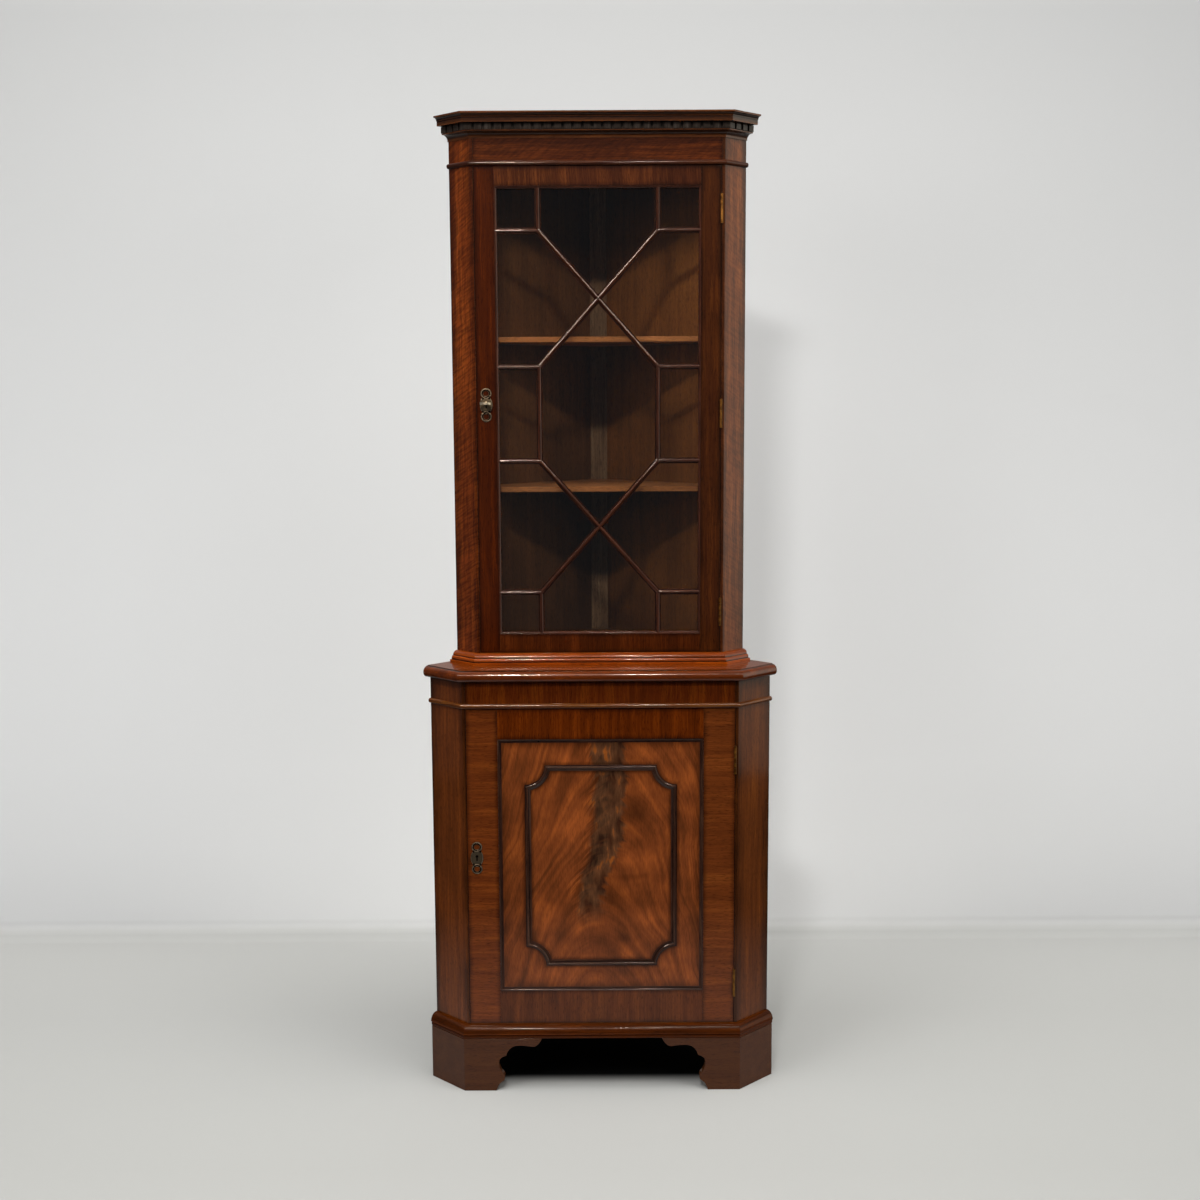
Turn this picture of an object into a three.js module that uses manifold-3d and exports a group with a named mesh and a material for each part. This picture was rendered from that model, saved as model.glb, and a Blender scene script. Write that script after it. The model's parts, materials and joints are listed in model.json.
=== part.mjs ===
// Corner cupboard in two stages: a glazed display cupboard standing on a closed cupboard.
// Millimetres. +Z is up, the doors face -Y, and the two back walls meet behind at +Y.
// The origin is on the floor, at the centre of the space that the cupboard fills.
import * as THREE from "three";
import { mergeVertices } from "three/addons/utils/BufferGeometryUtils.js";
import Module from "manifold-3d";

const wasm = await Module();
wasm.setup();

// Overall sizes
const cupboardHeight = 1830;
const lowerFrontWidth = 516.6;
const lowerCantDepth = 64.9;
const upperFrontWidth = 466.8;
const upperCantDepth = 42.05;
const rearFlatWidth = 16;

// Fits
const glueLine = 0.2;
const doorGap = 0.8;
const runningGap = 0.3;
const overrun = 2;
const sameSpot = 0.001;

// Carcass boards
const sideThickness = 18;
const edgeStrip = 5.5;
const backThickness = 6;
const postInnerWidth = 33;
const frontRailThickness = 20;
const floorBoardThickness = 18;
const doorStopRise = 3;
const topBoardThickness = 15;
const topRecess = 6;
const shelfThickness = 10;
const shelfSetback = 3;
const middleShelfHeight = 1142;
const highShelfHeight = 1421.5;
const lowerShelfHeight = 430;

// Feet, slab, friezes and mouldings
const footHeight = 104;
const footProjection = 13.4;
const footThickness = 18;
const footWing = 149.3;
const footBlock = 34;
const baseMouldHeight = 25.5;
const baseMouldProjection = 15.3;
const baseBeadHeight = 7.5;
const slabUnderside = 795.6;
const slabThickness = 22;
const slabProjection = 16.6;
const quirk = 1;
const slabThumb = 11;
const slabUnderRound = 9;
const waistMouldHeight = 20.2;
const waistMouldProjection = 18.5;
const waistFilletHeight = 3.8;
const lowerFriezeHeight = 51.4;
const upperFriezeHeight = 48.4;
const astragalHeight = 9.3;
const astragalProjection = 5.5;
const corniceHeight = 43;
const corniceProjection = 34.4;
const bedMouldHeight = 13.5;
const bedMouldProjection = 15.5;
const bedFillet = 2;
const dentilWidth = 13;
const dentilPitch = 17.97;
const dentilHeight = 11.2;
const dentilProjection = 17.5;
const dentilDepth = 4.2;
const dentilGround = 11.5;
const coronaSoffit = 25.5;
const coronaProjection = 26.8;
const coronaTop = 34;
const topFillet = 3;

// Doors
const doorThickness = 20;
const upperStileWidth = 37;
const upperRailWidth = 35;
const glassRebateWidth = 6.5;
const glassRebateDepth = 10;
const glassThickness = 3;
const glazingBeadWidth = 9;
const glazingBeadDepth = 6;
const barWidth = 11;
const barBeadWidth = 7.5;
const barFilletThickness = 5;
const barRecess = 0.8;
const borderWidth = 4.5;
const cornerPane = 75;
const middlePaneHalf = 87;
const lowerStileWidth = 58.7;
const lowerTopRailWidth = 57.7;
const lowerBottomRailWidth = 64;
const panelSetback = 3;
const panelThickness = 14;
const panelTongue = 6;
const panelTongueThickness = 5.6;
const panelBeadWidth = 7;
const panelMouldInset = 50;
const panelMouldWidth = 11.6;
const panelMouldThickness = 6;
const panelCornerRadius = 38;

// Hinges
const leafHeight = 53;
const leafWidth = 16;
const leafThickness = 1.3;
const knuckleRadius = 2.5;
const hingePinRadius = 1;
const hingePinClearance = 0.12;
const knuckleCount = 5;
const upperHingeInset = 77;
const lowerHingeTopInset = 99;
const lowerHingeBottomInset = 79;

// Locks, escutcheons and key
const lockBackset = 17.5;
const lockLength = 26.5;
const lockHeight = 58;
const lockDepth = 10.5;
const lockChamberRadius = 7.5;
const lockPlate = 1.5;
const lockFlange = 6;
const upperLockRise = 17.6;
const lowerLockRise = 20.6;
const boltHeight = 11;
const boltThickness = 6;
const boltLength = 16;
const boltRise = 15.5;
const boltThrow = 8;
const escutcheonHeight = 63;
const escutcheonWidth = 24;
const escutcheonThickness = 1.2;
const escutcheonRingRadius = 10.3;
const escutcheonEyeRadius = 5.3;
const escutcheonPiercingRadius = 1.6;
const shieldHeight = 34;
const keyholeRadius = 2.8;
const keyholeSlotWidth = 2.6;
const keyholeSlotLength = 9;
const keyRise = 3;
const keyShankRadius = 2.1;
const keyBowWidth = 21;
const keyBowDepth = 17;
const keyBowThickness = 4;
const keyBowRing = 4.3;
const keyNeck = 9;
const keyCollarLength = 2;
const keyCollarLip = 1;
const keyBitLength = 6.4;
const keyBitDepth = 5;
const keyBitThickness = 1.8;

// Derived places
const mitre = Math.tan(Math.PI / 8);
const wallLine = lowerFrontWidth / 2 + 2 * lowerCantDepth;
const lower = { front: 0, half: lowerFrontWidth / 2, cant: lowerCantDepth };
const upper = { half: upperFrontWidth / 2, cant: upperCantDepth };
upper.front = wallLine - upper.half - 2 * upper.cant;
const rearY = wallLine - rearFlatWidth / 2;
const frontY = -Math.max(slabProjection, baseMouldProjection, footProjection);
const postInnerY = wallLine - backThickness * Math.SQRT2 - postInnerWidth / 2;
const slabTop = slabUnderside + slabThickness;
const baseTop = footHeight + baseMouldHeight;
const friezeTop = cupboardHeight - corniceHeight;
const upperFriezeBottom = friezeTop - upperFriezeHeight;
const lowerFriezeBottom = slabUnderside - lowerFriezeHeight;
const upperFloorTop = slabTop + waistMouldHeight;

// Woods, metals and glass
const mahogany = new THREE.MeshStandardMaterial({ color: 0x5a2412, roughness: 0.3, metalness: 0 });
const darkMahogany = new THREE.MeshStandardMaterial({ color: 0x2e120b, roughness: 0.35, metalness: 0 });
const flameMahogany = new THREE.MeshStandardMaterial({ color: 0x7a3614, roughness: 0.25, metalness: 0 });
const innerWood = new THREE.MeshStandardMaterial({ color: 0x6a4226, roughness: 0.6, metalness: 0 });
const clearGlass = new THREE.MeshStandardMaterial({
  color: 0xdfe6e4,
  roughness: 0.05,
  metalness: 0,
  transparent: true,
  opacity: 0.3,
});
const brass = new THREE.MeshStandardMaterial({ color: 0xb08440, roughness: 0.35, metalness: 1 });
const antiqueBrass = new THREE.MeshStandardMaterial({ color: 0x4b4234, roughness: 0.45, metalness: 1 });
const steel = new THREE.MeshStandardMaterial({ color: 0xa7a39a, roughness: 0.35, metalness: 1 });

const cupboard = new THREE.Group();
// The plan is drawn from the lower stage's front face, then moved so the origin is at the middle.
cupboard.position.y = -(frontY + rearY) / 2;

// Adds one named piece to a group and returns its mesh.
function piece(name, geometry, material, group = cupboard) {
  const mesh = new THREE.Mesh(geometry, material);
  mesh.name = name;
  group.add(mesh);
  return mesh;
}

// Position-only copy of a geometry with shared vertices merged.
function welded(geometry) {
  const bare = geometry.index ? geometry.toNonIndexed() : geometry.clone();
  const position = bare.getAttribute("position");
  return mergeVertices(new THREE.BufferGeometry().setAttribute("position", position));
}

// A closed geometry as a solid for joining and cutting.
function solid(geometry) {
  const merged = welded(geometry);
  return new wasm.Manifold(
    new wasm.Mesh({
      numProp: 3,
      vertProperties: merged.attributes.position.array,
      triVerts: new Uint32Array(merged.index.array),
    }),
  );
}

// A solid back to a geometry with face normals.
function geometryOf(body) {
  const mesh = body.getMesh();
  const geometry = new THREE.BufferGeometry();
  geometry.setAttribute("position", new THREE.BufferAttribute(new Float32Array(mesh.vertProperties), 3));
  geometry.setIndex(new THREE.BufferAttribute(new Uint32Array(mesh.triVerts), 1));
  geometry.computeVertexNormals();
  return geometry;
}

// One geometry from several that overlap.
function join(...geometries) {
  return geometryOf(geometries.map(solid).reduce((sum, next) => sum.add(next)));
}

// A geometry with others taken out of it.
function cut(geometry, ...tools) {
  return geometryOf(tools.map(solid).reduce((rest, tool) => rest.subtract(tool), solid(geometry)));
}

const point = (x, y) => new THREE.Vector2(x, y);

// Points of a path, without any that repeats the one before it.
function outlinePoints(path, steps) {
  const points = path.getPoints(steps);
  return points.filter((p, i) => p.distanceTo(points.at(i - 1)) > sameSpot);
}

// A box between two corners.
function block(x0, x1, y0, y1, z0, z1) {
  const geometry = new THREE.BoxGeometry(x1 - x0, y1 - y0, z1 - z0);
  return geometry.translate((x0 + x1) / 2, (y0 + y1) / 2, (z0 + z1) / 2);
}

// A plan outline stood up from z0 to z1.
function prism(points, z0, z1) {
  const shape = new THREE.Shape(points);
  const geometry = new THREE.ExtrudeGeometry(shape, { depth: z1 - z0, bevelEnabled: false });
  return geometry.translate(0, 0, z0);
}

// A front-view shape, drawn in x and z, given thickness from y0 back to y1.
function frontShape(shape, y0, y1, curveSegments = 8) {
  const geometry = new THREE.ExtrudeGeometry(shape, { depth: y1 - y0, bevelEnabled: false, curveSegments });
  return geometry.rotateX(Math.PI / 2).translate(0, y1, 0);
}

// A section drawn in y and z, run along x from x0 to x1.
function alongX(points, x0, x1) {
  const shape = new THREE.Shape(points);
  const geometry = new THREE.ExtrudeGeometry(shape, { depth: x1 - x0, bevelEnabled: false });
  return geometry.rotateY(Math.PI / 2).rotateX(Math.PI / 2).translate(x0, 0, 0);
}

// A round bar along y at x, z.
function barAlongY(x, z, radius, y0, y1, sides = 16) {
  const geometry = new THREE.CylinderGeometry(radius, radius, y1 - y0, sides);
  return geometry.translate(x, (y0 + y1) / 2, z);
}

// A round bar along z at x, y.
function barAlongZ(x, y, radius, z0, z1, sides = 12) {
  const geometry = new THREE.CylinderGeometry(radius, radius, z1 - z0, sides);
  return geometry.rotateX(Math.PI / 2).translate(x, y, (z0 + z1) / 2);
}

// A closed skin through rings of points with equal counts. A looped skin joins its last ring to its
// first; an open one is capped with the triangles of its section.
function skin(rings, section, looped = false) {
  const count = rings[0].length;
  const positions = rings.flatMap((ring) => ring.flatMap((p) => [p.x, p.y, p.z]));
  const index = [];
  const bands = looped ? rings.length : rings.length - 1;
  for (let band = 0; band < bands; band++) {
    const near = band * count;
    const far = ((band + 1) % rings.length) * count;
    for (let i = 0; i < count; i++) {
      const next = (i + 1) % count;
      index.push(near + i, near + next, far + next, near + i, far + next, far + i);
    }
  }
  if (!looped) {
    const last = (rings.length - 1) * count;
    const turned = THREE.ShapeUtils.isClockWise(section);
    for (const face of THREE.ShapeUtils.triangulateShape(section, [])) {
      const [a, b, c] = turned ? face : face.reverse();
      index.push(a, b, c, last + c, last + b, last + a);
    }
  }
  const geometry = new THREE.BufferGeometry();
  geometry.setAttribute("position", new THREE.Float32BufferAttribute(positions, 3));
  geometry.setIndex(facesOut(rings.flat(), index) ? index : index.reverse());
  geometry.computeVertexNormals();
  return geometry;
}

// Whether a closed skin's faces point outwards, by the sign of the volume that they enclose.
function facesOut(points, index) {
  let volume = 0;
  for (let i = 0; i < index.length; i += 3) {
    const [a, b, c] = index.slice(i, i + 3).map((k) => points[k]);
    volume += a.dot(b.clone().cross(c));
  }
  return volume > 0;
}

// The four front corners of a stage in plan, moved out from its faces: left tip on the wall, left
// front, right front, right tip on the wall. The cants stand square to the walls.
function frontCorners(stage, out) {
  const half = stage.half + out * mitre;
  const tip = out / Math.SQRT2;
  const tipX = stage.half + stage.cant + tip;
  const tipY = stage.front + stage.cant - tip;
  const faceY = stage.front - out;
  return [point(-tipX, tipY), point(-half, faceY), point(half, faceY), point(tipX, tipY)];
}

// A moulding mitred round the stage's front corners. Its section is drawn as distance out and height.
function mitredMoulding(stage, section, base, first, last) {
  const rings = [];
  for (let corner = first; corner <= last; corner++) {
    rings.push(
      section.map((s) => {
        const plan = frontCorners(stage, s.x)[corner];
        return new THREE.Vector3(plan.x, plan.y, base + s.y);
      }),
    );
  }
  return skin(rings, section);
}

// A moulding mitred round a rectangle in the front plane. Its section is drawn as distance in from
// the rectangle's edge and depth back from y.
function framedMoulding(section, left, right, bottom, top, y) {
  const corners = [
    [left, bottom, 1, 1],
    [right, bottom, -1, 1],
    [right, top, -1, -1],
    [left, top, 1, -1],
  ];
  const rings = corners.map(([x, z, inX, inZ]) =>
    section.map((s) => new THREE.Vector3(x + inX * s.x, y + s.y, z + inZ * s.x)),
  );
  return skin(rings, section, true);
}

// Canted side boards. A thin strip of each shows beside the door, and its square inner face, as deep
// as the door, carries the hinges on the right and takes the lock's bolt on the left.
function sideOutline(stage, hand) {
  const along = sideThickness / Math.SQRT2;
  const stripX = stage.half - edgeStrip;
  const tip = point(stage.half + stage.cant, stage.front + stage.cant);
  return [
    point(hand * stripX, stage.front),
    point(hand * stage.half, stage.front),
    point(hand * tip.x, tip.y),
    point(hand * (tip.x - along), tip.y + along),
    point(hand * stripX, stage.front + sideThickness * Math.SQRT2 - edgeStrip),
  ];
}

// Plan outline of a board that fills the carcass from y = front back to the rear post.
function innerOutline(stage, front) {
  const clear = glueLine * Math.SQRT2;
  const jambX = stage.half - edgeStrip - glueLine;
  const jambY = stage.front + sideThickness * Math.SQRT2 - edgeStrip - glueLine + clear;
  const slopeX = stage.half + (front - stage.front) - sideThickness * Math.SQRT2 - clear;
  const depth = (sideThickness + backThickness) / Math.SQRT2 + clear;
  const backX = stage.half + stage.cant - depth;
  const backY = stage.front + stage.cant + (sideThickness - backThickness) / Math.SQRT2;
  const postY = postInnerY - glueLine;
  const postX = wallLine - backThickness * Math.SQRT2 - clear - postY;
  const start = front < jambY ? [point(jambX, front), point(jambX, jambY)] : [point(slopeX, front)];
  const right = [...start, point(backX, backY), point(postX, postY)];
  return [...right, ...right.map((p) => point(-p.x, p.y)).reverse()];
}

// Back panels run along the walls from the side boards to the rear post.
function backOutline(stage, hand) {
  const thin = backThickness / Math.SQRT2;
  const gap = glueLine / Math.SQRT2;
  const startX = stage.half + stage.cant - sideThickness / Math.SQRT2 - gap;
  const endX = postInnerWidth / 2 + thin + gap;
  const outer = [point(startX, wallLine - startX), point(endX, wallLine - endX)];
  const inner = outer.map((p) => point(p.x - thin, p.y - thin)).reverse();
  return [...outer, ...inner].map((p) => point(hand * p.x, p.y));
}

// The rear post fills the corner between the back panels.
function postOutline() {
  const half = postInnerWidth / 2;
  const thin = backThickness / Math.SQRT2;
  const right = [
    point(half, postInnerY),
    point(half + thin, postInnerY + thin),
    point(rearFlatWidth / 2, rearY),
  ];
  return [...right, ...right.map((p) => point(-p.x, p.y)).reverse()];
}

// Places that both doors share: the axis of the hinges and the gap at the door's edge.
function doorFrame(stage, bottom, top) {
  const jamb = stage.half - edgeStrip;
  const half = jamb - doorGap;
  const hinge = point(jamb - doorGap / 2, stage.front - knuckleRadius - runningGap);
  return { front: stage.front, back: stage.front + doorThickness, half, jamb, bottom, top, hinge };
}

const upperDoor = doorFrame(upper, upperFloorTop + doorGap, upperFriezeBottom - doorGap);
const lowerDoor = doorFrame(lower, baseTop + doorGap, lowerFriezeBottom - doorGap);
const doorMiddle = (door) => (door.bottom + door.top) / 2;
upperDoor.lockZ = doorMiddle(upperDoor) + upperLockRise;
lowerDoor.lockZ = doorMiddle(lowerDoor) + lowerLockRise;
upperDoor.hingeZ = [
  upperDoor.top - upperHingeInset,
  doorMiddle(upperDoor),
  upperDoor.bottom + upperHingeInset,
];
lowerDoor.hingeZ = [lowerDoor.top - lowerHingeTopInset, lowerDoor.bottom + lowerHingeBottomInset];

// Recesses for the hinge leaves, as tools to cut from the jamb (side 1) or the door's edge (side -1).
function leafRecesses(door, side) {
  const face = side > 0 ? door.jamb : door.half;
  const deep = side * (leafThickness + runningGap);
  const back = door.front + leafWidth + runningGap;
  const half = leafHeight / 2 + runningGap;
  const x = [face - side * overrun, face + deep].sort((a, b) => a - b);
  return door.hingeZ.map((z) => block(x[0], x[1], door.front - overrun, back, z - half, z + half));
}

// The mortise in the left side board that the bolt shoots into.
function strikeMortise(door) {
  const z = door.lockZ + boltRise;
  const high = boltHeight / 2 + doorGap;
  const middle = door.back - lockDepth / 2;
  const wide = boltThickness / 2 + doorGap;
  const deep = door.jamb + boltThrow;
  return block(-deep, -door.jamb + overrun, middle - wide, middle + wide, z - high, z + high);
}

function addSides(prefix, stage, door, z0, z1) {
  const right = cut(prism(sideOutline(stage, 1), z0, z1), ...leafRecesses(door, 1));
  const left = cut(prism(sideOutline(stage, -1), z0, z1), strikeMortise(door));
  piece(prefix + "_side_left", left, mahogany);
  piece(prefix + "_side_right", right, mahogany);
}

function addBacks(prefix, stage, z0, z1, postZ0) {
  piece(prefix + "_back_left", prism(backOutline(stage, -1), z0, z1), innerWood);
  piece(prefix + "_back_right", prism(backOutline(stage, 1), z0, z1), innerWood);
  piece(prefix + "_rear_post", prism(postOutline(), postZ0, z1), innerWood);
}

// Floor board of a stage. Behind the closed door it steps up, so the door shuts against the step.
function addFloor(name, stage, z0, z1) {
  const whole = prism(innerOutline(stage, stage.front + glueLine), z0, z1);
  const behindDoor = innerOutline(stage, stage.front + doorThickness + runningGap);
  piece(name, join(whole, prism(behindDoor, z0, z1 + doorStopRise)), innerWood);
}

function addFrontRail(name, stage, z0, z1) {
  const half = stage.half - edgeStrip - glueLine;
  piece(name, block(-half, half, stage.front, stage.front + frontRailThickness, z0, z1), mahogany);
}

// Carcass of the closed lower stage. Its rear post runs down to the floor as the back foot.
const lowerTop = slabUnderside - glueLine;
const lowerBase = footHeight + glueLine;
addSides("lower", lower, lowerDoor, lowerBase, lowerTop);
addBacks("lower", lower, lowerBase, lowerTop, 0);
addFrontRail("lower_frieze_rail", lower, lowerFriezeBottom, lowerTop);
addFloor("lower_floor_board", lower, baseTop - floorBoardThickness, baseTop);
const shelfFront = doorThickness + shelfSetback;
const lowerShelf = innerOutline(lower, lower.front + shelfFront);
piece("lower_shelf", prism(lowerShelf, lowerShelfHeight, lowerShelfHeight + shelfThickness), innerWood);

// Carcass of the glazed upper stage, which stands on the slab.
const upperBase = slabTop + glueLine;
const upperTop = cupboardHeight - glueLine;
addSides("upper", upper, upperDoor, upperBase, upperTop);
addBacks("upper", upper, upperBase, upperTop, upperBase);
addFrontRail("upper_frieze_rail", upper, upperFriezeBottom, upperTop);
addFloor("upper_floor_board", upper, upperBase, upperFloorTop);
const topBoardZ = cupboardHeight - topRecess - topBoardThickness;
const topBoard = innerOutline(upper, upper.front + frontRailThickness + glueLine);
piece("upper_top_board", prism(topBoard, topBoardZ, topBoardZ + topBoardThickness), innerWood);
const upperShelf = innerOutline(upper, upper.front + shelfFront);
for (const [name, z] of [["upper_middle_shelf", middleShelfHeight], ["upper_high_shelf", highShelfHeight]]) {
  piece(name, prism(upperShelf, z, z + shelfThickness), innerWood);
}

// Bracket feet: a scrolled front bracket mitred to a plain cant bracket, with a block glued behind.
// The scroll runs from the toe to the wing's tip. Each row is a curve's control point and its end, as
// shares of the wing's length from the corner and of the foot's height.
const toeShare = 0.41;
const footScrollShares = [
  [0.43, 0.14, 0.505, 0.19],
  [0.53, 0.25, 0.505, 0.31],
  [0.445, 0.38, 0.443, 0.54],
  [0.443, 0.64, 0.535, 0.67],
  [0.575, 0.87, 0.7, 0.866],
  [0.79, 0.866, 0.878, 0.84],
  [0.945, 0.84, 1, 1],
];

function footGeometry(hand) {
  const outer = frontCorners(lower, footProjection);
  const inner = frontCorners(lower, footProjection - footThickness);
  const corner = outer[2].x;
  const top = footHeight - glueLine;
  const wingX = corner - footWing;
  const wingTip = [point(wingX, inner[2].y), point(wingX, outer[2].y)];
  const plan = [...wingTip, outer[2], outer[3], inner[3], inner[2]];
  const arch = new THREE.Shape();
  arch.moveTo(corner - footWing * toeShare, -overrun);
  arch.lineTo(corner - footWing * toeShare, 0);
  for (const [controlS, controlH, endS, endH] of footScrollShares) {
    arch.quadraticCurveTo(
      corner - controlS * footWing,
      controlH * footHeight,
      corner - endS * footWing,
      endH * footHeight,
    );
  }
  arch.lineTo(wingX - overrun, footHeight);
  arch.lineTo(wingX - overrun, -overrun);
  const archTool = frontShape(arch, outer[2].y - overrun, inner[2].y + overrun, 5);
  const glueBlock = prism(
    [
      point(inner[2].x - footBlock, inner[2].y - runningGap),
      point(inner[2].x + runningGap, inner[2].y - runningGap),
      point(inner[2].x + footBlock, inner[2].y + footBlock - runningGap),
      point(inner[2].x, inner[2].y + footBlock),
    ],
    0,
    top,
  );
  const foot = cut(join(prism(plan, 0, top), glueBlock), archTool);
  return hand > 0 ? foot : mirrored(foot);
}

// A geometry reflected left to right, with its faces turned to point outwards again.
function mirrored(geometry) {
  const flat = welded(geometry).scale(-1, 1, 1);
  const index = Array.from(flat.index.array).reverse();
  flat.setIndex(index);
  flat.computeVertexNormals();
  return flat;
}

piece("foot_left", footGeometry(-1), mahogany);
piece("foot_right", footGeometry(1), mahogany);

// Base moulding: a thumb moulding over a small bead, mitred round the front and both cants.
const beadReliefShare = 0.6;

function baseMouldSection() {
  const path = new THREE.Path();
  const beadHalf = baseBeadHeight / 2;
  const beadOut = baseMouldProjection - beadHalf;
  const thumbBase = baseBeadHeight + quirk;
  path.moveTo(glueLine, 0);
  path.lineTo(beadOut, 0);
  path.absellipse(beadOut, beadHalf, beadHalf * beadReliefShare, beadHalf, -Math.PI / 2, Math.PI / 2, false);
  path.lineTo(baseMouldProjection, thumbBase);
  const thumbRise = baseMouldHeight - thumbBase;
  path.absellipse(quirk, thumbBase, baseMouldProjection - quirk, thumbRise, 0, Math.PI / 2, false);
  path.lineTo(glueLine, baseMouldHeight);
  return outlinePoints(path, 4);
}

piece("base_moulding", mitredMoulding(lower, baseMouldSection(), footHeight, 0, 3), mahogany);

// Waist slab: one board whose front and cant edges have a quirked thumb moulding, flush with the walls.
function slabGeometry() {
  const edge = new THREE.Path();
  const roundOut = slabProjection - slabUnderRound;
  const thumbIn = slabProjection - slabThumb;
  const thumbRise = slabThickness - quirk - slabUnderRound;
  edge.moveTo(roundOut, 0);
  edge.absellipse(roundOut, slabUnderRound, slabUnderRound, slabUnderRound, -Math.PI / 2, 0, false);
  edge.absellipse(thumbIn, slabUnderRound, slabThumb, thumbRise, 0, Math.PI / 2, false);
  edge.lineTo(thumbIn, slabThickness);
  const rings = outlinePoints(edge, 4).map((e) => {
    const rear = [point(rearFlatWidth / 2, rearY), point(-rearFlatWidth / 2, rearY)];
    const plan = [...frontCorners(lower, e.x), ...rear];
    return plan.map((p) => new THREE.Vector3(p.x, p.y, slabUnderside + e.y));
  });
  return skin(rings, rings[0].map((p) => point(p.x, p.y)));
}

piece("waist_slab", slabGeometry(), mahogany);

// Waist moulding: two rounds over a fillet, planted round the foot of the upper stage.
const lowRoundOutShare = 0.77;
const highRoundOutShare = 0.62;
const lowRoundHeightShare = 0.43;

function waistMouldSection() {
  const path = new THREE.Path();
  const lowOut = waistMouldProjection * lowRoundOutShare;
  const highOut = waistMouldProjection * highRoundOutShare;
  const lowRise = (waistMouldHeight - waistFilletHeight) * lowRoundHeightShare;
  const lowTop = waistFilletHeight + lowRise;
  path.moveTo(glueLine, 0);
  path.lineTo(waistMouldProjection, 0);
  path.lineTo(waistMouldProjection, waistFilletHeight);
  path.lineTo(lowOut, waistFilletHeight);
  path.absellipse(highOut, waistFilletHeight, lowOut - highOut, lowRise, 0, Math.PI / 2, false);
  const highIn = highOut - quirk;
  path.lineTo(highIn, lowTop);
  path.absellipse(quirk, lowTop, highIn - quirk, waistMouldHeight - lowTop, 0, Math.PI / 2, false);
  path.lineTo(glueLine, waistMouldHeight);
  return outlinePoints(path, 4);
}

piece("waist_moulding", mitredMoulding(upper, waistMouldSection(), upperBase, 0, 3), mahogany);

// Astragals: half-round strips that mark the foot of each frieze.
function astragalSection() {
  const path = new THREE.Path();
  const half = astragalHeight / 2;
  path.moveTo(glueLine, 0);
  path.lineTo(quirk, 0);
  path.absellipse(quirk, half, astragalProjection - quirk, half, -Math.PI / 2, Math.PI / 2, false);
  path.lineTo(glueLine, astragalHeight);
  return outlinePoints(path, 4);
}

for (const [name, stage, base] of [
  ["lower_astragal", lower, lowerFriezeBottom],
  ["upper_astragal", upper, upperFriezeBottom],
]) {
  piece(name, mitredMoulding(stage, astragalSection(), base, 0, 3), darkMahogany);
}

// Cornice: a cavetto bed moulding, the ground behind the dentils, and a corona under a cavetto and
// a fillet, in three lengths mitred at the front corners.
function corniceSection() {
  const path = new THREE.Path();
  const foot = bedFillet;
  const bedTop = bedMouldHeight - foot;
  const bedOut = bedMouldProjection - foot;
  const crownTop = corniceHeight - topFillet;
  const crownIn = coronaProjection + quirk;
  const crownOut = corniceProjection - quirk;
  path.moveTo(glueLine, 0);
  path.lineTo(foot, 0);
  path.lineTo(foot, foot);
  path.absellipse(bedOut, foot, bedOut - foot, bedTop - foot, Math.PI, Math.PI / 2, true);
  path.lineTo(bedMouldProjection, bedTop);
  path.lineTo(bedMouldProjection, bedMouldHeight);
  path.lineTo(dentilGround, bedMouldHeight);
  path.lineTo(dentilGround, coronaSoffit);
  path.lineTo(coronaProjection, coronaSoffit);
  path.lineTo(coronaProjection, coronaTop);
  path.lineTo(crownIn, coronaTop);
  path.absellipse(crownOut, coronaTop, crownOut - crownIn, crownTop - coronaTop, Math.PI, Math.PI / 2, true);
  path.lineTo(corniceProjection, crownTop);
  path.lineTo(corniceProjection, corniceHeight);
  path.lineTo(glueLine, corniceHeight);
  return outlinePoints(path, 4);
}

for (const [name, corner] of [["cornice_left", 0], ["cornice_front", 1], ["cornice_right", 2]]) {
  const length = mitredMoulding(upper, corniceSection(), friezeTop, corner, corner + 1);
  piece(name, length, darkMahogany);
}

// Dentil course: a strip cut into square blocks that starts and ends each side with a whole block.
function dentilOutline() {
  const faces = frontCorners(upper, dentilProjection);
  const backs = frontCorners(upper, dentilGround + glueLine);
  const outline = [];
  for (let side = 0; side < 3; side++) {
    const start = faces[side];
    const length = faces[side + 1].distanceTo(start);
    const along = faces[side + 1].clone().sub(start).divideScalar(length);
    const inwards = point(-along.y, along.x);
    const place = (distance, depth) => {
      return start.clone().addScaledVector(along, distance).addScaledVector(inwards, depth);
    };
    const gaps = Math.max(Math.round((length - dentilWidth) / dentilPitch), 1);
    const pitch = (length - dentilWidth) / gaps;
    for (let k = 0; k <= gaps; k++) {
      const from = k * pitch;
      const to = from + dentilWidth;
      if (k > 0) outline.push(place(from, dentilDepth));
      if (k > 0 || side === 0) outline.push(place(from, 0));
      outline.push(place(to, 0));
      if (k < gaps) outline.push(place(to, dentilDepth));
    }
  }
  return [...outline, ...backs.reverse()];
}

const dentilBase = friezeTop + bedMouldHeight + runningGap;
piece("dentil_course", prism(dentilOutline(), dentilBase, dentilBase + dentilHeight), darkMahogany);

// An ellipse in the front plane, as a shape in x and z.
function ovalShape(x, z, halfWidth, halfHeight) {
  const shape = new THREE.Shape();
  shape.absellipse(x, z, halfWidth, halfHeight, 0, 2 * Math.PI, false);
  return shape;
}

// A keyhole in the front plane: a round hole with a slot below it.
function keyholeTool(x, z, y0, y1) {
  const slotHalf = keyholeSlotWidth / 2;
  const round = barAlongY(x, z, keyholeRadius, y0, y1);
  return join(round, block(x - slotHalf, x + slotHalf, y0, y1, z - keyholeSlotLength, z));
}

// Places in a door's lock: the key's axis, the bolt's middle and the case.
function lockPlaces(door) {
  const caseHalf = lockHeight / 2 - lockFlange;
  const face = door.back - lockDepth;
  const x = -door.half + lockBackset;
  return { x, z: door.lockZ + keyRise, middle: door.back - lockDepth / 2, caseHalf, face };
}

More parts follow.
